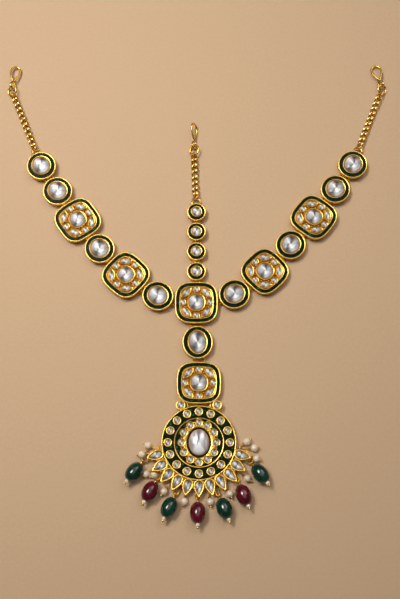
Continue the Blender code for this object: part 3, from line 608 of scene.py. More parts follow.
# Painted reflection: the brightness of a stone's colour round its middle, from left through bottom,
# right and top, stands in for the cut behind a flat stone mirroring the room. It is dark at the top
# and, narrower, at the lower left, and bright below and at the upper left. The domed stone's
# painted reflection is dark in a narrow wedge at the top.
FOIL_REFLECTION_TURNS = (
    (0.0, 0.42), (0.08, 0.3), (0.15, 0.04), (0.2, 0.25), (0.25, 0.85), (0.31, 1.0), (0.38, 0.8),
    (0.5, 0.35), (0.58, 0.5), (0.65, 0.22), (0.7, 0.02), (0.75, 0.0), (0.8, 0.4), (0.86, 1.0),
    (0.93, 0.6), (1.0, 0.42),
)
DOME_REFLECTION_TURNS = (
    (0.0, 0.4), (0.16, 0.45), (0.22, 0.95), (0.28, 1.0), (0.35, 0.5), (0.6, 0.4), (0.69, 0.45),
    (0.735, 0.0), (0.765, 0.0), (0.81, 0.45), (1.0, 0.4),
)
# How the domed stone's painted streaks and wedges together turn into the brightness of its painted
# reflection
DOME_FOIL_REFLECTION = ((0.26, 0.04), (0.42, 0.45), (0.5, 0.72), (0.58, 1.0))
DOME_WEDGE_SHARE = 0.55
FOIL_BEND = 0.6
EDGE_END = 0.97


def foil_reflection_stops(settings, shares):
    """Stops of the painted reflection, between the darkest facets' colour and the bright foil's."""
    return [(position, mixed(settings.shade, settings.foil, share)) for position, share in shares]


def edge_gold_reflection(tree, reflection_place, foil, edge_colour, start, most):
    """The painted reflection, turning to the edge's painted reflection of the gold from this share
    of the half width on.
    """
    flat = add_node(tree, "ShaderNodeVectorMath", {0: reflection_place, 1: (1.0, 1.0, 0.0)},
                    operation="MULTIPLY")
    reach = add_node(tree, "ShaderNodeVectorMath", {0: flat.outputs["Vector"]}, operation="LENGTH")
    edge = add_node(tree, "ShaderNodeMapRange", {
        "Value": reach.outputs["Value"], "From Min": start, "From Max": EDGE_END, "To Max": most,
    })
    gold_reflected = add_node(tree, "ShaderNodeMixRGB", {
        "Fac": edge.outputs["Result"], "Color1": foil, "Color2": (*edge_colour, 1),
    })
    return gold_reflected.outputs["Color"]


def foiled_stone(name, settings):
    """Hand-cut clear stone on silver foil, under a clear face, with a painted reflection: bright
    and dark wedges in its colour stand in for the facets behind it mirroring the room, and its edge
    is tinted with a painted reflection of the gold."""
    material, tree, shader = new_material(name, {
        "Metallic": 0.15, "Roughness": 0.35,
        "Coat Weight": 0.3, "Coat Roughness": 0.06, "Coat IOR": 1.5,
    })
    reflection_place = add_node(tree, "ShaderNodeAttribute", attribute_name=REFLECTION_ATTRIBUTE).outputs["Vector"]
    clouds = add_node(tree, "ShaderNodeTexNoise", {"Vector": reflection_place, "Scale": 1.3, "Detail": 1.0})
    bend = add_node(tree, "ShaderNodeVectorMath", {
        0: clouds.outputs["Color"],
        1: (FOIL_BEND, FOIL_BEND, 0.0),
        2: (-FOIL_BEND / 2, -FOIL_BEND / 2, 0.0),
    }, operation="MULTIPLY_ADD")
    bent = add_node(tree, "ShaderNodeVectorMath", {0: reflection_place, 1: bend.outputs["Vector"]},
                    operation="ADD")
    turn = add_node(tree, "ShaderNodeTexGradient", {"Vector": bent.outputs["Vector"]},
                    gradient_type="RADIAL")
    # Painted reflection: bright and dark wedges of colour round the stone's middle.
    foil = add_node(tree, "ShaderNodeValToRGB", {"Fac": turn.outputs["Fac"]},
                    foil_reflection_stops(settings, FOIL_REFLECTION_TURNS)).outputs["Color"]
    fill_sockets(tree, shader, {
        "Base Color": edge_gold_reflection(tree, reflection_place, foil, settings.edge, 0.8, 0.85),
    })
    return material


def domed_stone(name, settings):
    """The large domed stone, smooth, with a painted reflection: long soft streaks and a dark wedge
    in its colour stand in for the foil behind it mirroring the room, and its edge is tinted with a
    painted reflection of the gold.
    """
    material, tree, shader = new_material(name, {
        "Metallic": 0.15, "Roughness": 0.25,
        "Coat Weight": 0.7, "Coat Roughness": 0.03, "Coat IOR": 1.5,
    })
    reflection_place = add_node(tree, "ShaderNodeAttribute", attribute_name=REFLECTION_ATTRIBUTE).outputs["Vector"]
    stretched = add_node(tree, "ShaderNodeVectorMath", {0: reflection_place, 1: (3.2, 0.8, 1.0)},
                         operation="MULTIPLY")
    streaks = add_node(tree, "ShaderNodeTexNoise", {
        "Vector": stretched.outputs["Vector"], "Scale": 1.0, "Detail": 0.0,
    })
    turn = add_node(tree, "ShaderNodeTexGradient", {"Vector": reflection_place}, gradient_type="RADIAL")
    # Painted reflection: a dark wedge at the top, brighter below.
    wedge = add_node(tree, "ShaderNodeValToRGB", {"Fac": turn.outputs["Fac"]}, [
        (position, (share, share, share)) for position, share in DOME_REFLECTION_TURNS
    ])
    blended = add_node(tree, "ShaderNodeMixRGB", {
        "Fac": DOME_WEDGE_SHARE,
        "Color1": streaks.outputs["Fac"],
        "Color2": wedge.outputs["Color"],
    })
    foil = add_node(tree, "ShaderNodeValToRGB", {"Fac": blended.outputs["Color"]},
                    foil_reflection_stops(settings, DOME_FOIL_REFLECTION)).outputs["Color"]
    fill_sockets(tree, shader, {
        "Base Color": edge_gold_reflection(tree, reflection_place, foil, settings.dome_edge_reflection, 0.74, 0.75),
    })
    return material


# Finishes of the pieces: the material's name and maker, the settings that it reads, the piece's
# slot, and the angle in degrees from which an edge looks sharp
Finish = namedtuple("Finish", "material make settings slot crease")
SOFT, FACETED = 40.0, 3.0
FINISHES = {
    "gold": Finish("polished_gold_plating", polished_gold, "matha_gold", "gold", SOFT),
    "recess_shade": Finish("rough_gold_recess_painted_shade", shaded_recess_gold, "matha_gold", "gold", SOFT),
    "enamel": Finish("fired_green_enamel_painted_glint", fired_enamel, "matha_gold", "green_glass", SOFT),
    "black": Finish("fired_black_enamel", black_enamel, "matha_gold", "green_glass", SOFT),
    "stone": Finish("foil_backed_stone_painted_reflection", foiled_stone, "matha_stones", "stone", FACETED),
    "dome": Finish("foil_backed_cabochon_painted_reflection", domed_stone, "matha_stones", "stone", SOFT),
    "pearl": Finish("lacquered_pearl", cream_pearl, "matha_fringe", "pearl", SOFT),
    "green_glass": Finish("green_bead_glass", green_glass, "matha_fringe", "green_glass", SOFT),
    "red_glass": Finish("red_bead_glass", red_glass, "matha_fringe", "red_glass", SOFT),
}


def material_of(context, finish):
    """The finish's material, made the first time that it is asked for."""
    made = bpy.data.materials.get(finish.material)
    return made or finish.make(finish.material, getattr(context.scene, finish.settings))


# Placing

def direction(degrees):
    angle = math.radians(degrees)
    return Vector((math.cos(angle), math.sin(angle), 0.0))


def placed(position, heading):
    """A frame at the position whose X axis is the heading."""
    return Matrix.Translation(position) @ Matrix.Rotation(math.radians(heading), 4, "Z")


def middle_of(node):
    """The middle of a node's box, on the floor."""
    low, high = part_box(node)
    return Vector(((low.x + high.x) / 2, (low.y + high.y) / 2, 0.0))


def stone_place(node, heading):
    """A frame at the middle of a setting's main stone."""
    return placed(middle_of(node + "_stone"), heading)


# Outlines

def oval(length, width):
    def curve(turn):
        return np.stack([length / 2 * np.cos(turn), width / 2 * np.sin(turn)], 1)
    return curve


def circle(diameter):
    return oval(diameter, diameter)


def cushion(length, width, power=CUSHION_POWER):
    """A rectangle with full round corners."""
    def curve(turn):
        cosine, sine = np.cos(turn), np.sin(turn)
        x = length / 2 * np.sign(cosine) * np.abs(cosine) ** (2 / power)
        y = width / 2 * np.sign(sine) * np.abs(sine) ** (2 / power)
        return np.stack([x, y], 1)
    return curve


def marquise(length, width):
    """A pointed oval."""
    def curve(turn):
        sine = np.sin(turn)
        return np.stack([length / 2 * np.cos(turn), width / 2 * sine * np.abs(sine) ** 0.45], 1)
    return curve


def teardrop(length, width):
    """A pointed drop from its round end at x = 0 to its tip at x = length."""
    def curve(turn):
        x = length * (1 + np.cos(turn)) / 2
        y = width / 2 * np.sin(turn) * np.sin(turn / 2) / TEARDROP_PEAK
        return np.stack([x, y], 1)
    return curve


def even_outline(curve, count):
    """Points at even distances along a closed curve, their outward normals and its length."""
    dense = curve(np.linspace(0, 2 * math.pi, DENSE_STEPS, endpoint=False))
    closed = np.vstack([dense, dense[:1]])
    steps = np.linalg.norm(np.diff(closed, axis=0), axis=1)
    travelled = np.concatenate([[0], np.cumsum(steps)])
    wanted = np.arange(count) * travelled[-1] / count
    points = np.stack([np.interp(wanted, travelled, closed[:, axis]) for axis in (0, 1)], 1)
    tangents = np.roll(points, -1, 0) - np.roll(points, 1, 0)
    tangents /= np.linalg.norm(tangents, axis=1)[:, None]
    normals = np.stack([tangents[:, 1], -tangents[:, 0]], 1)
    return points, normals, travelled[-1]


def outline(curve, count, inset=0.0):
    """Points along a curve, moved inwards by the inset."""
    points, normals = even_outline(curve, count)[:2]
    return points - inset * normals


def level(flat, height):
    """A row of a skin: an outline at a height, or at one height for each point."""
    return np.column_stack([flat, np.broadcast_to(height, len(flat))])


def between(outer, inner, steps):
    """Rows between two outlines of as many points: each step is a share of the way and a height."""
    return [level(outer + share * (inner - outer), height) for share, height in steps]


class Shape:
    """Points and faces of a piece in the making, each face with the number of its finish. Each
    point of a stone has its place in the painted reflection on the stone: its way from the stone's
    middle as the stone lies on the floor, as long as it is near the edge, and a number that is the
    stone's own."""

    def __init__(self, place=HERE):
        self.place = place
        self.points = []
        self.faces = []
        self.finishes = []
        self.cuts = []

    def add_points(self, points):
        """Adds points that are in no cut; returns the number of the first."""
        start = len(self.points)
        self.points.extend(tuple(point) for point in points)
        self.cuts.extend([(0.0, 0.0, 0.0)] * (len(self.points) - start))
        return start

    def add_face(self, corners, finish_number=0):
        self.faces.append(tuple(corners))
        self.finishes.append(finish_number)

    def skin(self, rows, place=HERE, wrapped=False, last_finish=0):
        """Faces between rows of points that close on themselves. Wrapped rows go back to the
        first; others are closed by a face at each end, the last in a finish of its own."""
        turned, moved = np.array(place.to_3x3()), np.array(place.translation)
        rows = [np.asarray(points) @ turned.T + moved for points in rows]
        count = len(rows[0])
        start = self.add_points(point for points in rows for point in points)
        last = start + (len(rows) - 1) * count
        pairs = [(low, low + count) for low in range(start, last, count)]
        if wrapped:
            pairs.append((last, start))
        for lower, upper in pairs:
            for k in range(count):
                after = (k + 1) % count
                self.add_face((lower + k, lower + after, upper + after, upper + k))
        if not wrapped:
            self.add_face(range(start, start + count))
            self.add_face(range(last, last + count), last_finish)

    def mark_reflection_place(self, start, middle, shares):
        """Writes the place in the painted reflection of the points since the start, turned as the
        piece lies on the floor. The shares say how near the stone's edge each point is."""
        centre = self.place @ middle
        number = REFLECTION_NUMBER[0] * centre.x / MM + REFLECTION_NUMBER[1] * centre.y / MM
        for k, share in enumerate(shares, start):
            away = self.place @ Vector(self.points[k]) - centre
            way = Vector((away.x, away.y)).normalized() * share
            self.cuts[k] = (way.x, way.y, number)


def add_piece(context, name, shape, finish_names, replaces=()):
    """Makes the piece's object, shades it and has it ride on the ornament's one body. The first
    finish gives the crease; its slot is read but not used."""
    finishes = [FINISHES[finish_name] for finish_name in finish_names]
    slot, crease = finishes[0].slot, finishes[0].crease
    mesh = bpy.data.meshes.new(name)
    mesh.from_pydata(shape.points, [], shape.faces)
    for finish in finishes:
        mesh.materials.append(material_of(context, finish))
    mesh.polygons.foreach_set("material_index", shape.finishes)
    if any(any(reflection_place) for reflection_place in shape.cuts):
        cuts = mesh.attributes.new(REFLECTION_ATTRIBUTE, "FLOAT_VECTOR", "POINT")
        cuts.data.foreach_set("vector", [c for reflection_place in shape.cuts for c in reflection_place])
    bm = bmesh.new()
    bm.from_mesh(mesh)
    bmesh.ops.recalc_face_normals(bm, faces=bm.faces)
    bm.to_mesh(mesh)
    bm.free()
    mesh.shade_smooth()
    mesh.set_sharp_from_angle(angle=math.radians(crease))
    piece = bpy.data.objects.new(name, mesh)
    piece.matrix_world = shape.place
    context.scene.collection.objects.link(piece)
    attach(piece, "root")
    if replaces:
        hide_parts(*replaces)


# Gold, enamel and stones of a setting in the making
Layers = namedtuple("Layers", "gold enamel stones")


def new_layers(place=HERE):
    return Layers(Shape(place), Shape(place), Shape(place))


def add_layers(context, node, layers, gold_finishes, stone_node):
    add_piece(context, node + "_gold", layers.gold, gold_finishes, [node])
    add_piece(context, node + "_enamel", layers.enamel, ["enamel"])
    add_piece(context, node + "_polki", layers.stones, ["stone"], [stone_node])


# Wires and turned parts

def tube(shape, path, radius, normals, closed=False, sides=WIRE_SIDES):
    """A round wire along a path; the normals are one vector or one for each point."""
    count = len(path)
    normals = [normals] * count if isinstance(normals, Vector) else normals
    angles = [2 * math.pi * j / sides for j in range(sides)]
    rows = []
    for k, point in enumerate(path):
        before = path[k - 1] if closed or k else point
        after = path[(k + 1) % count] if closed or k < count - 1 else point
        tangent = (after - before).normalized()
        up = (normals[k] - tangent * normals[k].dot(tangent)).normalized()
        side = tangent.cross(up)
        ends = []
        if not closed and k in (0, count - 1):
            sign = -1 if k == 0 else 1
            ends = [(sign * radius * math.sin(a), math.cos(a)) for a in WIRE_END_TURNS]
        ends = ends + [(0.0, 1.0)] if k == 0 else [(0.0, 1.0)] + ends[::-1]
        for along, share in ends:
            centre = point + tangent * along
            rows.append([centre + radius * share * (side * math.cos(a) + up * math.sin(a))
                         for a in angles])
    shape.skin(rows, wrapped=closed)


def rounded_path(corners, radius, steps):
    """A path whose inner corners are rounded."""
    path = [corners[0]]
    for before, corner, after in zip(corners, corners[1:], corners[2:]):
        start = corner + (before - corner).normalized() * radius
        end = corner + (after - corner).normalized() * radius
        for k in range(steps + 1):
            share = k / steps
            path.append((1 - share) ** 2 * start + 2 * share * (1 - share) * corner
                        + share ** 2 * end)
    path.append(corners[-1])
    return path


def wire_u(shape, bar, reach, legs, wire, corner, steps):
    """A U of wire: a bar that reaches as far to either side of its middle, and two legs."""
    corners = [bar + reach + legs, bar + reach, bar - reach, bar - reach + legs]
    tube(shape, rounded_path(corners, corner, steps), wire / 2, UP)


def ring_path(centre, first, second, radius, count, start=0.0, end=360.0):
    """Points of a circle, or of a part of it, in the plane of two axes."""
    whole = end - start >= 360.0
    steps = count if whole else count - 1
    turns = [math.radians(start + (end - start) * k / steps) for k in range(count)]
    return [centre + radius * (first * math.cos(t) + second * math.sin(t)) for t in turns]


def coil(shape, centre, axis, across, radius, wire):
    """One closed turn of wire round an axis."""
    path = ring_path(centre, across, across.cross(axis), radius, COIL_STEPS)
    tube(shape, path, wire / 2, axis, closed=True)


def turned_part(shape, profile, axis, start, sides):
    """A turned part: rows of distance along the axis and radius."""
    across = axis.cross(UP)
    side = across.normalized() if across.length > 0.01 else Vector((1, 0, 0))
    up = side.cross(axis)
    angles = [2 * math.pi * k / sides for k in range(sides)]
    rows = []
    for distance, radius in profile:
        centre = start + axis * distance
        rows.append([centre + radius * (side * math.cos(a) + up * math.sin(a)) for a in angles])
    shape.skin(rows)


def ball(shape, centre, radius, cuts, axis=UP):
    sides, rings = BALL_CUTS[cuts]
    turns = [math.pi * (k + 0.25) / (rings - 0.5) for k in range(rings)]
    profile = [(-radius * math.cos(t), radius * math.sin(t)) for t in turns]
    turned_part(shape, profile, axis, centre, sides)


# Stones and collets

def cut_stone(shape, curve, low, girdle, rise, main_facets, middle=(0.0, 0.0), place=HERE):
    """A stone with straight sides, a crown of three rings of facets and a flat table."""
    points = outline(curve, 2 * main_facets)
    centre = np.array(middle)
    count = 2 * main_facets
    rings = (
        (points, low),
        (points, girdle),
        (centre + MAIN_RING[0] * (points[1::2] - centre), girdle + MAIN_RING[1] * rise),
        (centre + TABLE[0] * (points[0::2] - centre), girdle + TABLE[1] * rise),
    )
    start = shape.add_points(
        place @ Vector((x, y, height)) for flat, height in rings for x, y in flat
    )
    shares = [1.0] * 2 * count + [MAIN_RING[0]] * main_facets + [TABLE[0]] * main_facets
    shape.mark_reflection_place(start, place @ Vector((*middle, girdle)), shares)
    bottom, edge = start, start + count
    middles, table = start + 2 * count, start + 2 * count + main_facets
    shape.add_face(range(bottom, bottom + count))
    for k in range(count):
        after = (k + 1) % count
        shape.add_face((bottom + k, bottom + after, edge + after, edge + k))
    for k in range(main_facets):
        before = (k - 1) % main_facets
        after = (k + 1) % main_facets
        shape.add_face((edge + 2 * k, edge + 2 * k + 1, middles + k))
        shape.add_face((edge + 2 * k + 1, edge + (2 * k + 2) % count, middles + k))
        shape.add_face((edge + 2 * k, middles + k, table + k, middles + before))
        shape.add_face((middles + k, table + after, table + k))
    shape.add_face(range(table, table + main_facets))


def collet_wall(shape, outer, inner, low, lip, place=HERE):
    """A wall of gold round a stone, its lip rolled over the stone's edge."""
    steps = [(0.0, low), *((share, lip - depth) for share, depth in LIP_PROFILE), (1.0, low)]
    shape.skin(between(outer, inner, steps), place, wrapped=True)


def set_round(layers, spot, collet, stone, low, lip):
    """A round collet with its stone."""
    place = Matrix.Translation(spot)
    wall, opening = outline(circle(collet), ROUND_STEPS), outline(circle(stone), ROUND_STEPS)
    collet_wall(layers.gold, wall, opening, low, lip, place)
    cut_stone(layers.stones, circle(stone + STONE_LAP), low, lip - GIRDLE_DEPTH, SMALL_STONE_RISE,
              SMALL_STONE_FACETS, place=place)


# Settings

def setting_profile(rim):
    """Rows of inset, height and share of the grains: wall, groove under the rim, and rim."""
    return (
        (0.45 * MM, 0.0, 0.0),
        (0.25 * MM, 0.3 * MM, 0.0),
        (0.05 * MM, FACE - 1.3 * MM, 0.0),
        (0.22 * MM, FACE - 1.15 * MM, 0.0),
        (0.22 * MM, FACE - 1.0 * MM, 0.0),
        (0.0, FACE - 0.85 * MM, 0.0),
        (0.0, FACE - 0.3 * MM, 0.3),
        (0.15 * rim, FACE - 0.08 * MM, 0.8),
        (0.4 * rim, FACE + 0.03 * MM, 1.0),
        (0.7 * rim, FACE, 0.8),
        (0.92 * rim, FACE - 0.1 * MM, 0.2),
        (rim, FACE - 0.3 * MM, 0.0),
        (rim, ENAMEL_FLOOR, 0.0),
    )


def skin_setting(shape, curve, settings, floor_finish=0, place=HERE):
    """The gold body of a setting: its profile led round the outline, with four points to a grain,
    closed by the enamel's floor."""
    grains = max(8, round(even_outline(curve, 4)[2] / settings.grain_pitch))
    points, normals = even_outline(curve, 4 * grains)[:2]
    wave = np.cos(2 * math.pi * np.arange(4 * grains) / 4)
    rows = []
    for inset, height, share in setting_profile(settings.rim):
        rows.append(level(points - inset * normals, height + settings.grain_rise * share * wave))
    shape.skin(rows, place, last_finish=floor_finish)


def enamel_ring(shape, outer, inner, place=HERE):
    """Enamel between two outlines, a little hollow between them."""
    low, top = ENAMEL_FLOOR - ENAMEL_SINK, ENAMEL_TOP
    steps = ((0.0, low), (0.0, top), (0.5, top - ENAMEL_HOLLOW), (1.0, top), (1.0, low))
    shape.skin(between(outer, inner, steps), place, wrapped=True)


def setting_curve(kind):
    length, width = SETTING_SIZES[kind]
    return cushion(length, width) if "square" in kind else oval(length, width)


def build_round_setting(context, node, kind, place):
    """An oval or round setting: gold body, enamel and one stone in its collet."""
    settings, stones = context.scene.matha_gold, context.scene.matha_stones
    curve = setting_curve(kind)
    length, width = COLLETS[kind]
    layers = new_layers(place)
    skin_setting(layers.gold, curve, settings)
    wall = outline(oval(length, width), SETTING_STEPS)
    lip = outline(oval(length, width), SETTING_STEPS, settings.lip)
    collet_wall(layers.gold, wall, lip, ENAMEL_FLOOR, FACE + LIP_RISE["oval"])
    enamel_ring(layers.enamel, outline(curve, SETTING_STEPS, settings.rim), wall)
    crown = stones.small_crown if kind == "round" else stones.crown
    border = 2 * settings.lip - STONE_LAP
    cut_stone(layers.stones, oval(length - border, width - border), ENAMEL_FLOOR,
              FACE + GIRDLE_RISE["oval"], crown, stones.main_facets)
    add_layers(context, node, layers, ["gold"], node + "_stone")


def square_field(layers, kind, facets, place):
    """What fills a square: centre stone, four marquises and four round stones in their collets."""
    length, width = SETTING_SIZES[kind]
    gold, stones = layers.gold, layers.stones
    low, lip = ENAMEL_FLOOR, FACE + LIP_RISE["field"]
    centre = cushion(FIELD_COLLET, FIELD_COLLET, FIELD_POWER)
    centre_lip = outline(centre, COLLET_STEPS, FIELD_COLLET_LIP)
    collet_wall(gold, outline(centre, COLLET_STEPS), centre_lip, low,
                FACE + LIP_RISE["field_centre"], place)
    cut_stone(stones, cushion(FIELD_STONE, FIELD_STONE, FIELD_POWER), low,
              FACE + GIRDLE_RISE["field_centre"], FIELD_STONE_RISE, facets, place=place)
    wall = outline(marquise(*LEAF), LEAF_STEPS)
    opening = outline(marquise(*LEAF_OPENING), LEAF_STEPS)
    corners = ((1, 1), (-1, 1), (-1, -1), (1, -1))
    for k, (right, up) in enumerate(corners):
        across = (length if k % 2 == 0 else width) / 2 - FIELD_ROUND_INSET
        set_round(layers, place @ (across * direction(90 * k)), FIELD_ROUND, SMALL_STONE, low, lip)
        corner = Vector((length * right, width * up, 0)).normalized()
        leaf_place = place @ placed(corner * LEAF_REACH, 135 + 90 * k)
        collet_wall(gold, wall, opening, low, lip, leaf_place)
        cut_stone(stones, marquise(*LEAF_STONE), low, lip - GIRDLE_DEPTH, LEAF_STONE_RISE, facets,
                  place=leaf_place)
        for side in (-1, 1):
            for granule in FIELD_GRANULES:
                spot = granule.reach * direction(90 * k + side * granule.angle)
                ball(gold, place @ (spot + UP * FIELD_GRANULE_Z), granule.radius, "field_granule")


def build_square(context, layers, kind, place=HERE):
    """A square setting: gold body, enamelled channel and the field inside it."""
    settings = context.scene.matha_gold
    curve = setting_curve(kind)
    inner = settings.rim + settings.channel
    skin_setting(layers.gold, curve, settings, 1, place)
    wall = outline(curve, SETTING_STEPS, inner)
    collet_wall(layers.gold, wall, outline(curve, SETTING_STEPS, inner + settings.lip),
                ENAMEL_FLOOR, FACE + LIP_RISE["channel"], place)
    enamel_ring(layers.enamel, outline(curve, SETTING_STEPS, settings.rim), wall, place)
    square_field(layers, kind, context.scene.matha_stones.main_facets, place)


def build_square_setting(context, node, place):
    layers = new_layers(place)
    build_square(context, layers, "square")
    add_layers(context, node, layers, ["gold", "recess_shade"], node + "_stone")


# Junctions

def ear(shape, tip, heading, half_height):
    """An upright U of wire round the staple's bar."""
    legs = LEG_LENGTH * direction(heading)
    bend = ring_path(tip, direction(heading + 180), UP, half_height, EAR_STEPS, -90, 90)
    path = [bend[0] + legs, *bend, bend[-1] + legs]
    tube(shape, path, LINK_WIRE / 2, direction(heading + 90))


def build_junctions(context, strand):
    """The staples and ears between the settings of one strand. A staple's legs run into the
    setting that comes before, an ear's into the one that follows."""
    shape = Shape()
    heading, kind = strand.first_heading, "square"
    position = Vector((0, 0, 0))
    for setting in strand.settings:
        bend = (setting.heading - heading + 180) % 360 - 180
        middle_heading = heading + bend / 2
        following = middle_of(setting.node + "_stone")
        end = position + SETTING_SIZES[kind][0] / 2 * direction(heading)
        start = following - SETTING_SIZES[setting.kind][0] / 2 * direction(setting.heading)
        bar = (start + end) / 2 + LINK_PITCH / 2 * direction(middle_heading)
        bar.z = LINK_HEIGHT
        spread = ROUND_EAR_SPREAD if "round" in (kind, setting.kind) else EAR_SPREAD
        spread *= 1 - abs(bend) / STIFF_BEND
        reach = (spread / 2 + LINK_PITCH) * direction(middle_heading + 270)
        legs = LEG_LENGTH * direction(middle_heading + 180)
        wire_u(shape, bar, reach, legs, LINK_WIRE, STAPLE_CORNER,
               STAPLE_CORNER_STEPS)
        for sign in (1, -1):
            across = sign * spread / 2 * direction(middle_heading + 90)
            ear(shape, bar + across, middle_heading, LINK_PITCH)
        position, heading, kind = following, setting.heading, setting.kind
    add_piece(context, strand.name + "_junctions", shape, ["gold"])


# Pendant

def build_medallion(context, layers, place):
    """The round plate: rim, two enamel fields with collets, and the ring between them."""
    settings = context.scene.matha_gold
    gold, enamel = layers.gold, layers.enamel
    plate = circle(MEDALLION_DIAMETER)
    ring_diameter, ring_width = MIDDLE_RING
    skin_setting(gold, plate, settings, place=place)
    ring_wall = outline(circle(ring_diameter), MEDALLION_STEPS)
    ring_lip = outline(circle(ring_diameter), MEDALLION_STEPS, ring_width)
    collet_wall(gold, ring_wall, ring_lip, ENAMEL_FLOOR, FACE + LIP_RISE["medallion_ring"], place)
    enamel_ring(enamel, outline(plate, MEDALLION_STEPS, settings.rim), ring_wall, place)
    enamel_ring(enamel, ring_lip, outline(oval(*CENTRE_STONE), MEDALLION_STEPS), place)
    wreath = oval(INNER_COLLETS.tall - WREATH_INSET, INNER_COLLETS.wide - WREATH_INSET)
    collet_wall(gold, outline(wreath, MEDALLION_STEPS), outline(black_rim(), MEDALLION_STEPS),
                ENAMEL_FLOOR, FACE + LIP_RISE["wreath"], place)
    for ring in (OUTER_COLLETS, INNER_COLLETS):
        for k in range(ring.count):
            spot = place @ ring_spot(ring, k, 1.0)
            set_round(layers, spot, ring.collet, SMALL_STONE, ENAMEL_FLOOR, FACE + ring.rise)
    for k in range(INNER_COLLETS.count):
        for share, radius in WREATH_GRANULES:
            spot = ring_spot(INNER_COLLETS, k + 0.5, share) + UP * WREATH_GRANULE_Z
            ball(gold, place @ spot, radius, "granule")


def ring_spot(ring, number, share):
    """A spot of a collet ring, at a share of its distance from the middle."""
    way = direction(360 * number / ring.count)
    return Vector((share * ring.tall / 2 * way.x, share * ring.wide / 2 * way.y, 0))


def black_rim():
    return oval(CENTRE_STONE[0] + 2 * CENTRE_RIM, CENTRE_STONE[1] + 2 * CENTRE_RIM)


def build_centre_stone(context, place):
    """The domed oval stone at the medallion's middle, in its black rim."""
    rim = Shape(place)
    outside = black_rim()
    collet_wall(rim, outline(outside, DOME_STEPS), outline(outside, DOME_STEPS, CENTRE_RIM),
                ENAMEL_FLOOR, FACE + LIP_RISE["black_rim"])
    add_piece(context, "centre_stone_rim", rim, ["black"])
    dome = Shape(place)
    girdle = FACE + GIRDLE_RISE["dome"]
    points = outline(oval(*CENTRE_STONE), DOME_STEPS)
    rows = [level(points, ENAMEL_FLOOR)]
    shares = [1.0] * DOME_STEPS
    for k in range(DOME_ROWS):
        turn = math.pi / 2 * k / DOME_ROWS
        rows.append(level(points * math.cos(turn), girdle + CENTRE_STONE_RISE * math.sin(turn)))
        shares += [math.cos(turn)] * DOME_STEPS
    dome.skin(rows)
    dome.mark_reflection_place(0, Vector((0, 0, girdle)), shares)
    add_piece(context, "medallion_polki", dome, ["dome"], ["medallion_stone"])


def build_petals(context, layers, place):
    """Drop-shaped collets round the lower half of the medallion, with grains between them."""
    length, width = PETAL_SIZE
    side_wall, tip_wall = PETAL_WALL
    facets = context.scene.matha_stones.main_facets
    lip = FACE + LIP_RISE["petal"]
    inner = (length - side_wall - tip_wall, width - 2 * side_wall)

    def opening(turn):
        return teardrop(*inner)(turn) + np.array([side_wall, 0])

    wall, edge = outline(teardrop(length, width), COLLET_STEPS), outline(opening, COLLET_STEPS)
    for k in range(PETAL_COUNT):
        angle = (k - (PETAL_COUNT - 1) / 2) * PETAL_STEP
        petal_place = place @ placed(PETAL_START * direction(angle), angle)
        collet_wall(layers.gold, wall, edge, PETAL_BASE, lip, petal_place)
        cut_stone(layers.stones, opening, PETAL_BASE, lip - GIRDLE_DEPTH, PETAL_STONE_RISE, facets,
                  (side_wall + PETAL_STONE_MIDDLE * inner[0], 0), petal_place)
        if k:
            gap = direction(angle - PETAL_STEP / 2)
            for reach, radius, height in (OUTER_GRANULE, INNER_GRANULE):
                spot = place @ (reach * gap + UP * height)
                ball(layers.gold, spot, radius, "granule")


def build_upper_collets(layers, place):
    """The two collets and the two struts between the lower square and the medallion."""
    reach = (MEDALLION_DIAMETER + COLLET_DIAMETER) / 2 - COLLET_OVERLAP
    for sign in (1, -1):
        spot = place @ (reach * direction(180 + sign * (90 - COLLET_ANGLE)))
        set_round(layers, spot, COLLET_DIAMETER, COLLET_STONE, 0.0, FACE + LIP_RISE["upper_collet"])
        start = place @ Vector((STRUT_ENDS[0], sign * STRUT_OFFSET, FACE / 2))
        end = place @ Vector((STRUT_ENDS[1], sign * STRUT_TAPER * STRUT_OFFSET, FACE / 2))
        tube(layers.gold, [start, end], LINK_WIRE, UP)


# Fringe

def around(place, angle, reach, height):
    spot = place.translation + reach * MEDALLION_DIAMETER / 2 * direction(angle)
    spot.z = height
    return spot


def drop_frame(place, drop):
    """Middle of a bead, direction of its tail and middle of its loop."""
    loop_reach = BEAD_LENGTH / 2 + DROP_LOOP_DIAMETER / 2 + DROP_NECK
    tilt = math.asin((BEAD_DIAMETER / 2 - DROP_LOOP_Z) / loop_reach)
    tail = direction(drop.heading) * math.cos(tilt) + UP * math.sin(tilt)
    middle = around(place, drop.angle, drop.reach, BEAD_DIAMETER / 2)
    return middle, tail, middle - loop_reach * tail


def build_bead(middle, along):
    """A barrel-shaped bead with a small flat at each end, where its hole is."""
    half, radius = SHOWN_BEAD[0] / 2, SHOWN_BEAD[1] / 2
    turns = [BEAD_END * (2 * k / BEAD_ROWS - 1) for k in range(BEAD_ROWS + 1)]
    profile = [(half * math.sin(t) / math.sin(BEAD_END), radius * math.cos(t) ** BEAD_FULLNESS)
               for t in turns]
    hole = half - BEAD_HOLE
    bead = Shape()
    turned_part(bead, [(-hole, BEAD_HOLE), *profile, (hole, BEAD_HOLE)], along, middle, BEAD_SIDES)
    return bead


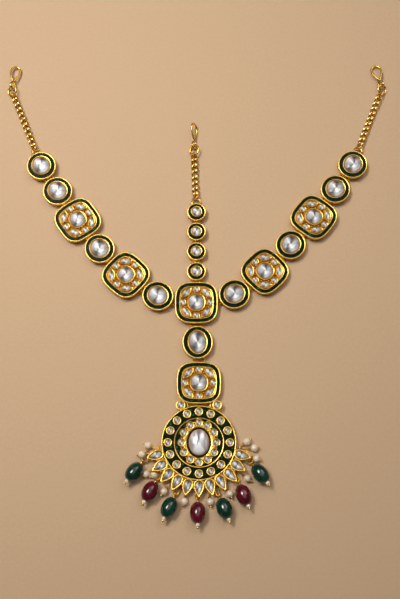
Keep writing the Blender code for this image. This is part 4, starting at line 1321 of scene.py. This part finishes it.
def build_drop(context, name, place, drop):
    """A bead on a headpin with a looped head, a small pearl and a gold ball under it. The bead is
    a little longer than its solid and lies flatter on its pin, so that it clears the floor."""
    settings = context.scene.matha_fringe
    middle, tail, loop = drop_frame(place, drop)
    tilt = math.radians(SHOWN_BEAD_TILT)
    along = direction(drop.heading) * math.cos(tilt) + UP * math.sin(tilt)
    bead_middle = middle + direction(drop.heading) * SHOWN_BEAD_SHIFT
    add_piece(context, name + "_bead", build_bead(bead_middle, along), [drop.glass], [name])
    gold = Shape()
    across = direction(drop.heading + 90)
    radius = (DROP_LOOP_DIAMETER - DROP_WIRE) / 2
    path = ring_path(loop, tail, across.cross(tail), radius, LOOP_STEPS)
    tube(gold, path, DROP_WIRE / 2, across, closed=True)
    for reach in NECK_COILS:
        centre = loop + tail * (DROP_LOOP_DIAMETER / 2 + reach)
        coil(gold, centre, tail, across, NECK_COIL_RADIUS, NECK_COIL_WIRE)
    pearl_reach = (SHOWN_BEAD[0] + settings.tail_pearl) / 2 - TAIL_PEARL_SINK
    ball_reach = pearl_reach + (settings.tail_pearl + settings.tail_ball) / 2 - TAIL_BALL_SINK
    ball(gold, bead_middle + along * ball_reach, settings.tail_ball / 2, "tail_ball", along)
    turned_part(gold, [(HEADPIN_START, BEAD_HOLE), (0.0, BEAD_HOLE)], tail, middle, HEADPIN_SIDES)
    add_piece(context, name + "_pin", gold, ["gold"])
    pearl = Shape()
    ball(pearl, bead_middle + along * pearl_reach, settings.tail_pearl / 2, "tail_pearl", along)
    add_piece(context, name + "_tail_pearl", pearl, ["pearl"])


def build_gallery(place):
    """The wire under the petals, with the eyes that hold the drops."""
    gold = Shape()
    centre = around(place, 0, 0, GALLERY_Z)
    path = ring_path(centre, direction(0), direction(90), GALLERY_RADIUS, GALLERY_STEPS,
                     FRINGE_MIDDLE - GALLERY_HALF_SPAN, FRINGE_MIDDLE + GALLERY_HALF_SPAN)
    tube(gold, path, GALLERY_WIRE / 2, UP)
    for drop in DROPS:
        bar = drop_frame(place, drop)[2]
        half_width = (drop.eye_width - DROP_WIRE) / 2
        reach = (bar - place.translation).dot(direction(drop.heading))
        foot = direction(drop.heading + 180) * reach * EYE_FOOT
        foot.z = GALLERY_Z - bar.z
        wire_u(gold, bar, half_width * direction(drop.heading + 90), foot, DROP_WIRE,
               EYE_CORNER * half_width, EYE_CORNER_STEPS)
    return gold


def build_pearls(context, place, gold):
    """Pearls on pins, with two coils of wire inside and a gold ball outside."""
    radius = context.scene.matha_fringe.pearl_diameter / 2
    pearls = Shape()
    for pearl in PEARLS:
        foot_angle = FRINGE_MIDDLE + pearl.foot * GALLERY_HALF_SPAN
        start = around(place, foot_angle, 2 * GALLERY_RADIUS / MEDALLION_DIAMETER, GALLERY_Z)
        middle = around(place, pearl.angle, pearl.reach, radius)
        axis = (middle - start).normalized()
        ball(pearls, middle, radius, "pearl", axis)
        tube(gold, [start, middle + axis * (radius + PEARL_PIN_END)], PEARL_PIN / 2, UP)
        ball(gold, middle + axis * (radius + PEARL_BALL[0]), PEARL_BALL[1], "pin_ball", axis)
        across = axis.cross(UP).normalized()
        for reach, size in PEARL_COILS:
            coil(gold, middle - axis * (radius + reach), axis, across, size, PEARL_COIL_WIRE)
    return pearls


# Chains, rings and hooks

def rolled(heading, roll):
    """Unit vector across the heading, turned about it by the roll."""
    angle = math.radians(roll)
    return direction(heading + 90) * math.cos(angle) + UP * math.sin(angle)


def chain_height(share):
    """Height of the chain at a share of its way: high where its ends are held."""
    ends = BAIL_Z + (RING_Z - BAIL_Z) * share
    return CHAIN_MIDDLE_Z + (ends - CHAIN_MIDDLE_Z) * (2 * share - 1) ** 2


def link(shape, centre, heading, rise, rolls, held):
    """A curb link, twisted about the chain. Held is 1 where the bail holds its start and -1 where
    the ring holds its end, and moves the twist away from there."""
    length = CHAIN_PITCH + CHAIN_WIRE - CHAIN_SOLDER
    width = CHAIN_WIDTH - CHAIN_WIRE
    path, normals = [], []
    for k in range(LINK_STEPS):
        angle = 2 * math.pi * k / LINK_STEPS
        share = math.cos(angle)
        twist = (share + 1) / 2
        if held > 0:
            twist = twist ** 2
        if held < 0:
            twist = 1 - (1 - twist) ** 2
        roll = rolls[0] + (rolls[1] - rolls[0]) * twist
        along = direction(heading) * (length / 2 * share) + UP * (rise * share / 2)
        path.append(centre + along + rolled(heading, roll) * (width / 2 * math.sin(angle)))
        normals.append(rolled(heading, roll + 90))
    tube(shape, path, CHAIN_WIRE / 2, normals, closed=True)


def link_rolls(held, ring_roll):
    """Rolls of a link's start and end; at the ring it stands across the ring."""
    first = -HELD_LINK_ROLL if held > 0 else -LINK_ROLL
    last = ring_roll - math.copysign(90, ring_roll) if held < 0 else LINK_ROLL
    return first, last


def chain_start(chain):
    """Middle of the bail's far wire, walked back from the jump ring, and the first link's reach."""
    link_length = CHAIN_PITCH + CHAIN_WIRE - CHAIN_SOLDER
    first = link_length / 2 - (BAIL_WIRE + CHAIN_WIRE) / 2 - CHAIN_CLEARANCE
    last = first + (chain.links - 1) * CHAIN_PITCH + link_length / 2
    reach = last - (RING_WIRE + CHAIN_WIRE) / 2 - CHAIN_CLEARANCE
    ahead = direction(chain.heading)
    near = middle_of(chain.side + "_ring") - (RING_DIAMETER - RING_WIRE) / 2 * ahead
    return near - reach * ahead, first


def build_chain(context, chain):
    start, first = chain_start(chain)
    ahead = direction(chain.heading)
    shape = Shape()
    count = chain.links
    for k in range(count):
        centre = start + (first + k * CHAIN_PITCH) * ahead
        share = k / (count - 1)
        centre.z = chain_height(share)
        rise = chain_height(share + 0.5 / count) - chain_height(share - 0.5 / count)
        held = 1 if k == 0 else -1 if k == count - 1 else 0
        link(shape, centre, chain.heading, rise, link_rolls(held, chain.ring_roll), held)
    add_piece(context, chain.side + "_chain_links", shape, ["gold"], [chain.side + "_chain"])
    bail = Shape()
    radius = (BAIL_DIAMETER - BAIL_WIRE) / 2
    centre = start - radius * ahead
    centre.z = BAIL_Z
    path = ring_path(centre, ahead, direction(chain.heading + 90), radius, LINK_STEPS,
                     -BAIL_HALF_TURN, BAIL_HALF_TURN)
    tube(bail, path, BAIL_WIRE / 2, UP)
    add_piece(context, chain.side + "_bail", bail, ["gold"])


def ring_point(chain, turn):
    """A point on the middle of the jump ring's wire."""
    centre = middle_of(chain.side + "_ring")
    centre.z = RING_Z
    radius = (RING_DIAMETER - RING_WIRE) / 2
    across = rolled(chain.heading, chain.ring_roll)
    return centre + radius * (direction(chain.heading) * math.cos(turn) + across * math.sin(turn))


def build_ring(context, chain):
    shape = Shape()
    path = [ring_point(chain, 2 * math.pi * k / RING_STEPS) for k in range(RING_STEPS)]
    normal = rolled(chain.heading, chain.ring_roll + 90)
    tube(shape, path, RING_WIRE / 2, normal, closed=True, sides=HOOK_SIDES)
    add_piece(context, chain.side + "_jump_ring", shape, ["gold"], [chain.side + "_ring"])


def teardrop_point(size, turn):
    along = size[0] / 2 * (1 - math.cos(turn))
    across = size[1] / 2 * math.sin(turn) * math.sin(turn / 2) / TEARDROP_PEAK
    return along, across


def build_hook(context, chain):
    """One wire: a drop-shaped loop, a crossing at the neck and a small eye round the jump ring."""
    heading = chain.hook_heading
    ahead = direction(heading)
    lean = math.tan(math.radians(heading - chain.heading))
    turn = math.atan(lean / math.cos(math.radians(chain.ring_roll)))
    held = ring_point(chain, turn)
    neck = held + (HOOK_EYE[0] - (RING_WIRE + HOOK_WIRE) / 2 - CHAIN_CLEARANCE) * ahead
    half_width = HOOK_LOOP[1] / 2 * math.sin(math.radians(abs(chain.loop_roll)))
    fall = neck.z - HOOK_END_HEIGHT - HOOK_WIRE / 2 - half_width
    path, normals = [], []
    start, end = math.radians(HOOK_START_TURN), 2 * math.pi
    for k in range(HOOK_STEPS):
        turn = start + (end - start) * k / HOOK_STEPS
        along, across = teardrop_point(HOOK_LOOP, turn)
        down = UP * (-fall * along / HOOK_LOOP[0])
        path.append(neck + along * ahead + across * rolled(heading, chain.loop_roll) + down)
        normals.append(rolled(heading, chain.loop_roll + 90))
    for k in range(HOOK_EYE_STEPS + 1):
        turn = math.radians(HOOK_EYE_TURN) * k / HOOK_EYE_STEPS
        along, across = teardrop_point(HOOK_EYE, turn)
        path.append(neck - along * ahead + across * rolled(heading, chain.eye_roll))
        roll = chain.loop_roll + (chain.eye_roll - chain.loop_roll) * min(1.0, k / HOOK_TWIST_STEPS)
        normals.append(rolled(heading, roll + 90))
    shape = Shape()
    tube(shape, path, HOOK_WIRE / 2, normals, sides=HOOK_SIDES)
    add_piece(context, chain.side + "_wire_hook", shape, ["gold"], [chain.side + "_hook"])


# Stage

def add_object(context, name, data, place, away):
    """Adds a light or a camera that looks away along a direction."""
    placed_object = bpy.data.objects.new(name, data)
    placed_object.location = place
    placed_object.rotation_mode = "QUATERNION"
    placed_object.rotation_quaternion = away.to_track_quat("-Z", "Y")
    context.scene.collection.objects.link(placed_object)
    return placed_object


def add_light(context, light, power):
    data = bpy.data.lights.new(light.name, "AREA")
    data.shape = "SQUARE"
    data.size = light.size
    data.spread = math.radians(light.spread)
    data.energy = power
    data.color = context.scene.matha_stage.light
    add_object(context, light.name, data, light.place, Vector(light.aim) - Vector(light.place))


def add_camera(context):
    data = bpy.data.cameras.new("camera")
    data.lens = CAMERA_LENS
    data.clip_start = CAMERA_CLIP
    angle = math.radians(CAMERA_ELEVATION)
    back = Vector((0, -math.cos(angle), math.sin(angle)))
    place = Vector(CAMERA_AIM) + CAMERA_DISTANCE * back
    context.scene.camera = add_object(context, "camera", data, place, -back)


def add_floor(context):
    """A wide card under the whole ornament."""
    mesh = bpy.data.meshes.new("floor")
    steps = [FLOOR_HALF * (2 * k / FLOOR_CELLS - 1) for k in range(FLOOR_CELLS + 1)]
    points = [(x, y, FLOOR_Z) for y in steps for x in steps]
    corners = (0, 1, len(steps) + 1, len(steps))
    faces = [tuple(r * len(steps) + c + corner for corner in corners)
             for r in range(FLOOR_CELLS) for c in range(FLOOR_CELLS)]
    mesh.from_pydata(points, [], faces)
    mesh.materials.append(floor_card("uncoated_card", context.scene.matha_stage))
    floor = bpy.data.objects.new("floor", mesh)
    context.scene.collection.objects.link(floor)


def add_room(context):
    """A soft studio room: bright overhead and dim at its sides, so that the gold mirrors both."""
    settings = context.scene.matha_stage
    world = bpy.data.worlds.new("studio")
    world.use_nodes = True
    tree = world.node_tree
    ray = add_node(tree, "ShaderNodeTexCoord")
    height = add_node(tree, "ShaderNodeVectorMath", {0: ray.outputs["Generated"], 1: ROOM_TOP},
                      operation="DOT_PRODUCT")
    glow = add_node(tree, "ShaderNodeMapRange", {
        "Value": height.outputs["Value"],
        "From Min": ROOM_DIM, "From Max": ROOM_BRIGHT,
        "To Min": settings.room_side, "To Max": settings.room_top,
    }, interpolation_type="SMOOTHSTEP")
    fill_sockets(tree, tree.nodes["Background"], {
        "Color": (*settings.light, 1), "Strength": glow.outputs["Result"],
    })
    context.scene.world = world


# Operators, one for each group of like pieces

class MATHA_OT_settings(bpy.types.Operator):
    """Build the gold settings of the strands with their enamel and stones"""

    bl_idname = "matha.settings"
    bl_label = "Strand settings"

    def execute(self, context):
        build_square_setting(context, "centre_square", stone_place("centre_square", 0))
        for strand in STRANDS:
            for node, kind, heading in strand.settings:
                if kind == "square":
                    build_square_setting(context, node, stone_place(node, heading))
                elif kind != "lower_square":
                    build_round_setting(context, node, kind, stone_place(node, heading))
        return {"FINISHED"}


class MATHA_OT_junctions(bpy.types.Operator):
    """Build the staples and ears that join the settings"""

    bl_idname = "matha.junctions"
    bl_label = "Junctions"

    def execute(self, context):
        for strand in STRANDS:
            build_junctions(context, strand)
        return {"FINISHED"}


class MATHA_OT_pendant(bpy.types.Operator):
    """Build the pendant: lower square, medallion, collets and petals"""

    bl_idname = "matha.pendant"
    bl_label = "Pendant"

    def execute(self, context):
        place = stone_place("medallion", 270)
        layers = new_layers()
        build_square(context, layers, "lower_square", stone_place("lower_square", 270))
        build_medallion(context, layers, place)
        build_upper_collets(layers, place)
        build_petals(context, layers, place)
        build_centre_stone(context, place)
        add_layers(context, "pendant", layers, ["gold", "recess_shade"], "lower_square_stone")
        return {"FINISHED"}


class MATHA_OT_fringe(bpy.types.Operator):
    """Build the gallery wire with its eyes and pearls"""

    bl_idname = "matha.fringe"
    bl_label = "Pearl fringe"

    def execute(self, context):
        place = stone_place("medallion", 270)
        gold = build_gallery(place)
        pearls = build_pearls(context, place, gold)
        add_piece(context, "fringe_wire", gold, ["gold"], ["pearl_fringe"])
        add_piece(context, "fringe_pearls", pearls, ["pearl"])
        return {"FINISHED"}


class MATHA_OT_drops(bpy.types.Operator):
    """Build the bead drops"""

    bl_idname = "matha.drops"
    bl_label = "Bead drops"

    def execute(self, context):
        for number, drop in enumerate(DROPS, 1):
            build_drop(context, "drop_" + str(number), stone_place("medallion", 270), drop)
        return {"FINISHED"}


class MATHA_OT_chains(bpy.types.Operator):
    """Build the chains with their bails, jump rings and hooks"""

    bl_idname = "matha.chains"
    bl_label = "Chains and hooks"

    def execute(self, context):
        for chain in CHAINS:
            build_chain(context, chain)
            build_ring(context, chain)
            build_hook(context, chain)
        return {"FINISHED"}


class MATHA_OT_stage(bpy.types.Operator):
    """Add the floor, the light and the camera"""

    bl_idname = "matha.stage"
    bl_label = "Floor, light and camera"

    def execute(self, context):
        settings = context.scene.matha_stage
        add_camera(context)
        add_floor(context)
        add_room(context)
        add_light(context, KEY_LIGHT, settings.key_power)
        add_light(context, FILL_LIGHT, settings.fill_power)
        context.scene.view_settings.view_transform = "Standard"
        return {"FINISHED"}


class MATHA_PT_panel(bpy.types.Panel):
    """The ornament's sizes and build steps in the 3D view's sidebar."""

    bl_idname = "MATHA_PT_panel"
    bl_label = "Matha patti"
    bl_space_type = "VIEW_3D"
    bl_region_type = "UI"
    bl_category = "Matha patti"

    def draw(self, context):
        for group_name in GROUPS:
            box = self.layout.box()
            group = getattr(context.scene, group_name)
            for name in group.__annotations__:
                box.prop(group, name)
        for operator in OPERATORS:
            self.layout.operator(operator.bl_idname)


GROUPS = {
    "matha_gold": MATHA_PG_gold,
    "matha_stones": MATHA_PG_stones,
    "matha_fringe": MATHA_PG_fringe,
    "matha_stage": MATHA_PG_stage,
}
OPERATORS = (
    MATHA_OT_stage,
    MATHA_OT_settings,
    MATHA_OT_junctions,
    MATHA_OT_pendant,
    MATHA_OT_fringe,
    MATHA_OT_drops,
    MATHA_OT_chains,
)


def register():
    for name, group in GROUPS.items():
        bpy.utils.register_class(group)
        setattr(bpy.types.Scene, name, PointerProperty(type=group))
    for operator in OPERATORS:
        bpy.utils.register_class(operator)
    bpy.utils.register_class(MATHA_PT_panel)


def unregister():
    bpy.utils.unregister_class(MATHA_PT_panel)
    for operator in reversed(OPERATORS):
        bpy.utils.unregister_class(operator)
    for name, group in GROUPS.items():
        delattr(bpy.types.Scene, name)
        bpy.utils.unregister_class(group)


def main():
    register()
    bpy.ops.matha.stage()
    bpy.ops.matha.settings()
    bpy.ops.matha.junctions()
    bpy.ops.matha.pendant()
    bpy.ops.matha.fringe()
    bpy.ops.matha.drops()
    bpy.ops.matha.chains()


if __name__ == "__main__":
    main()
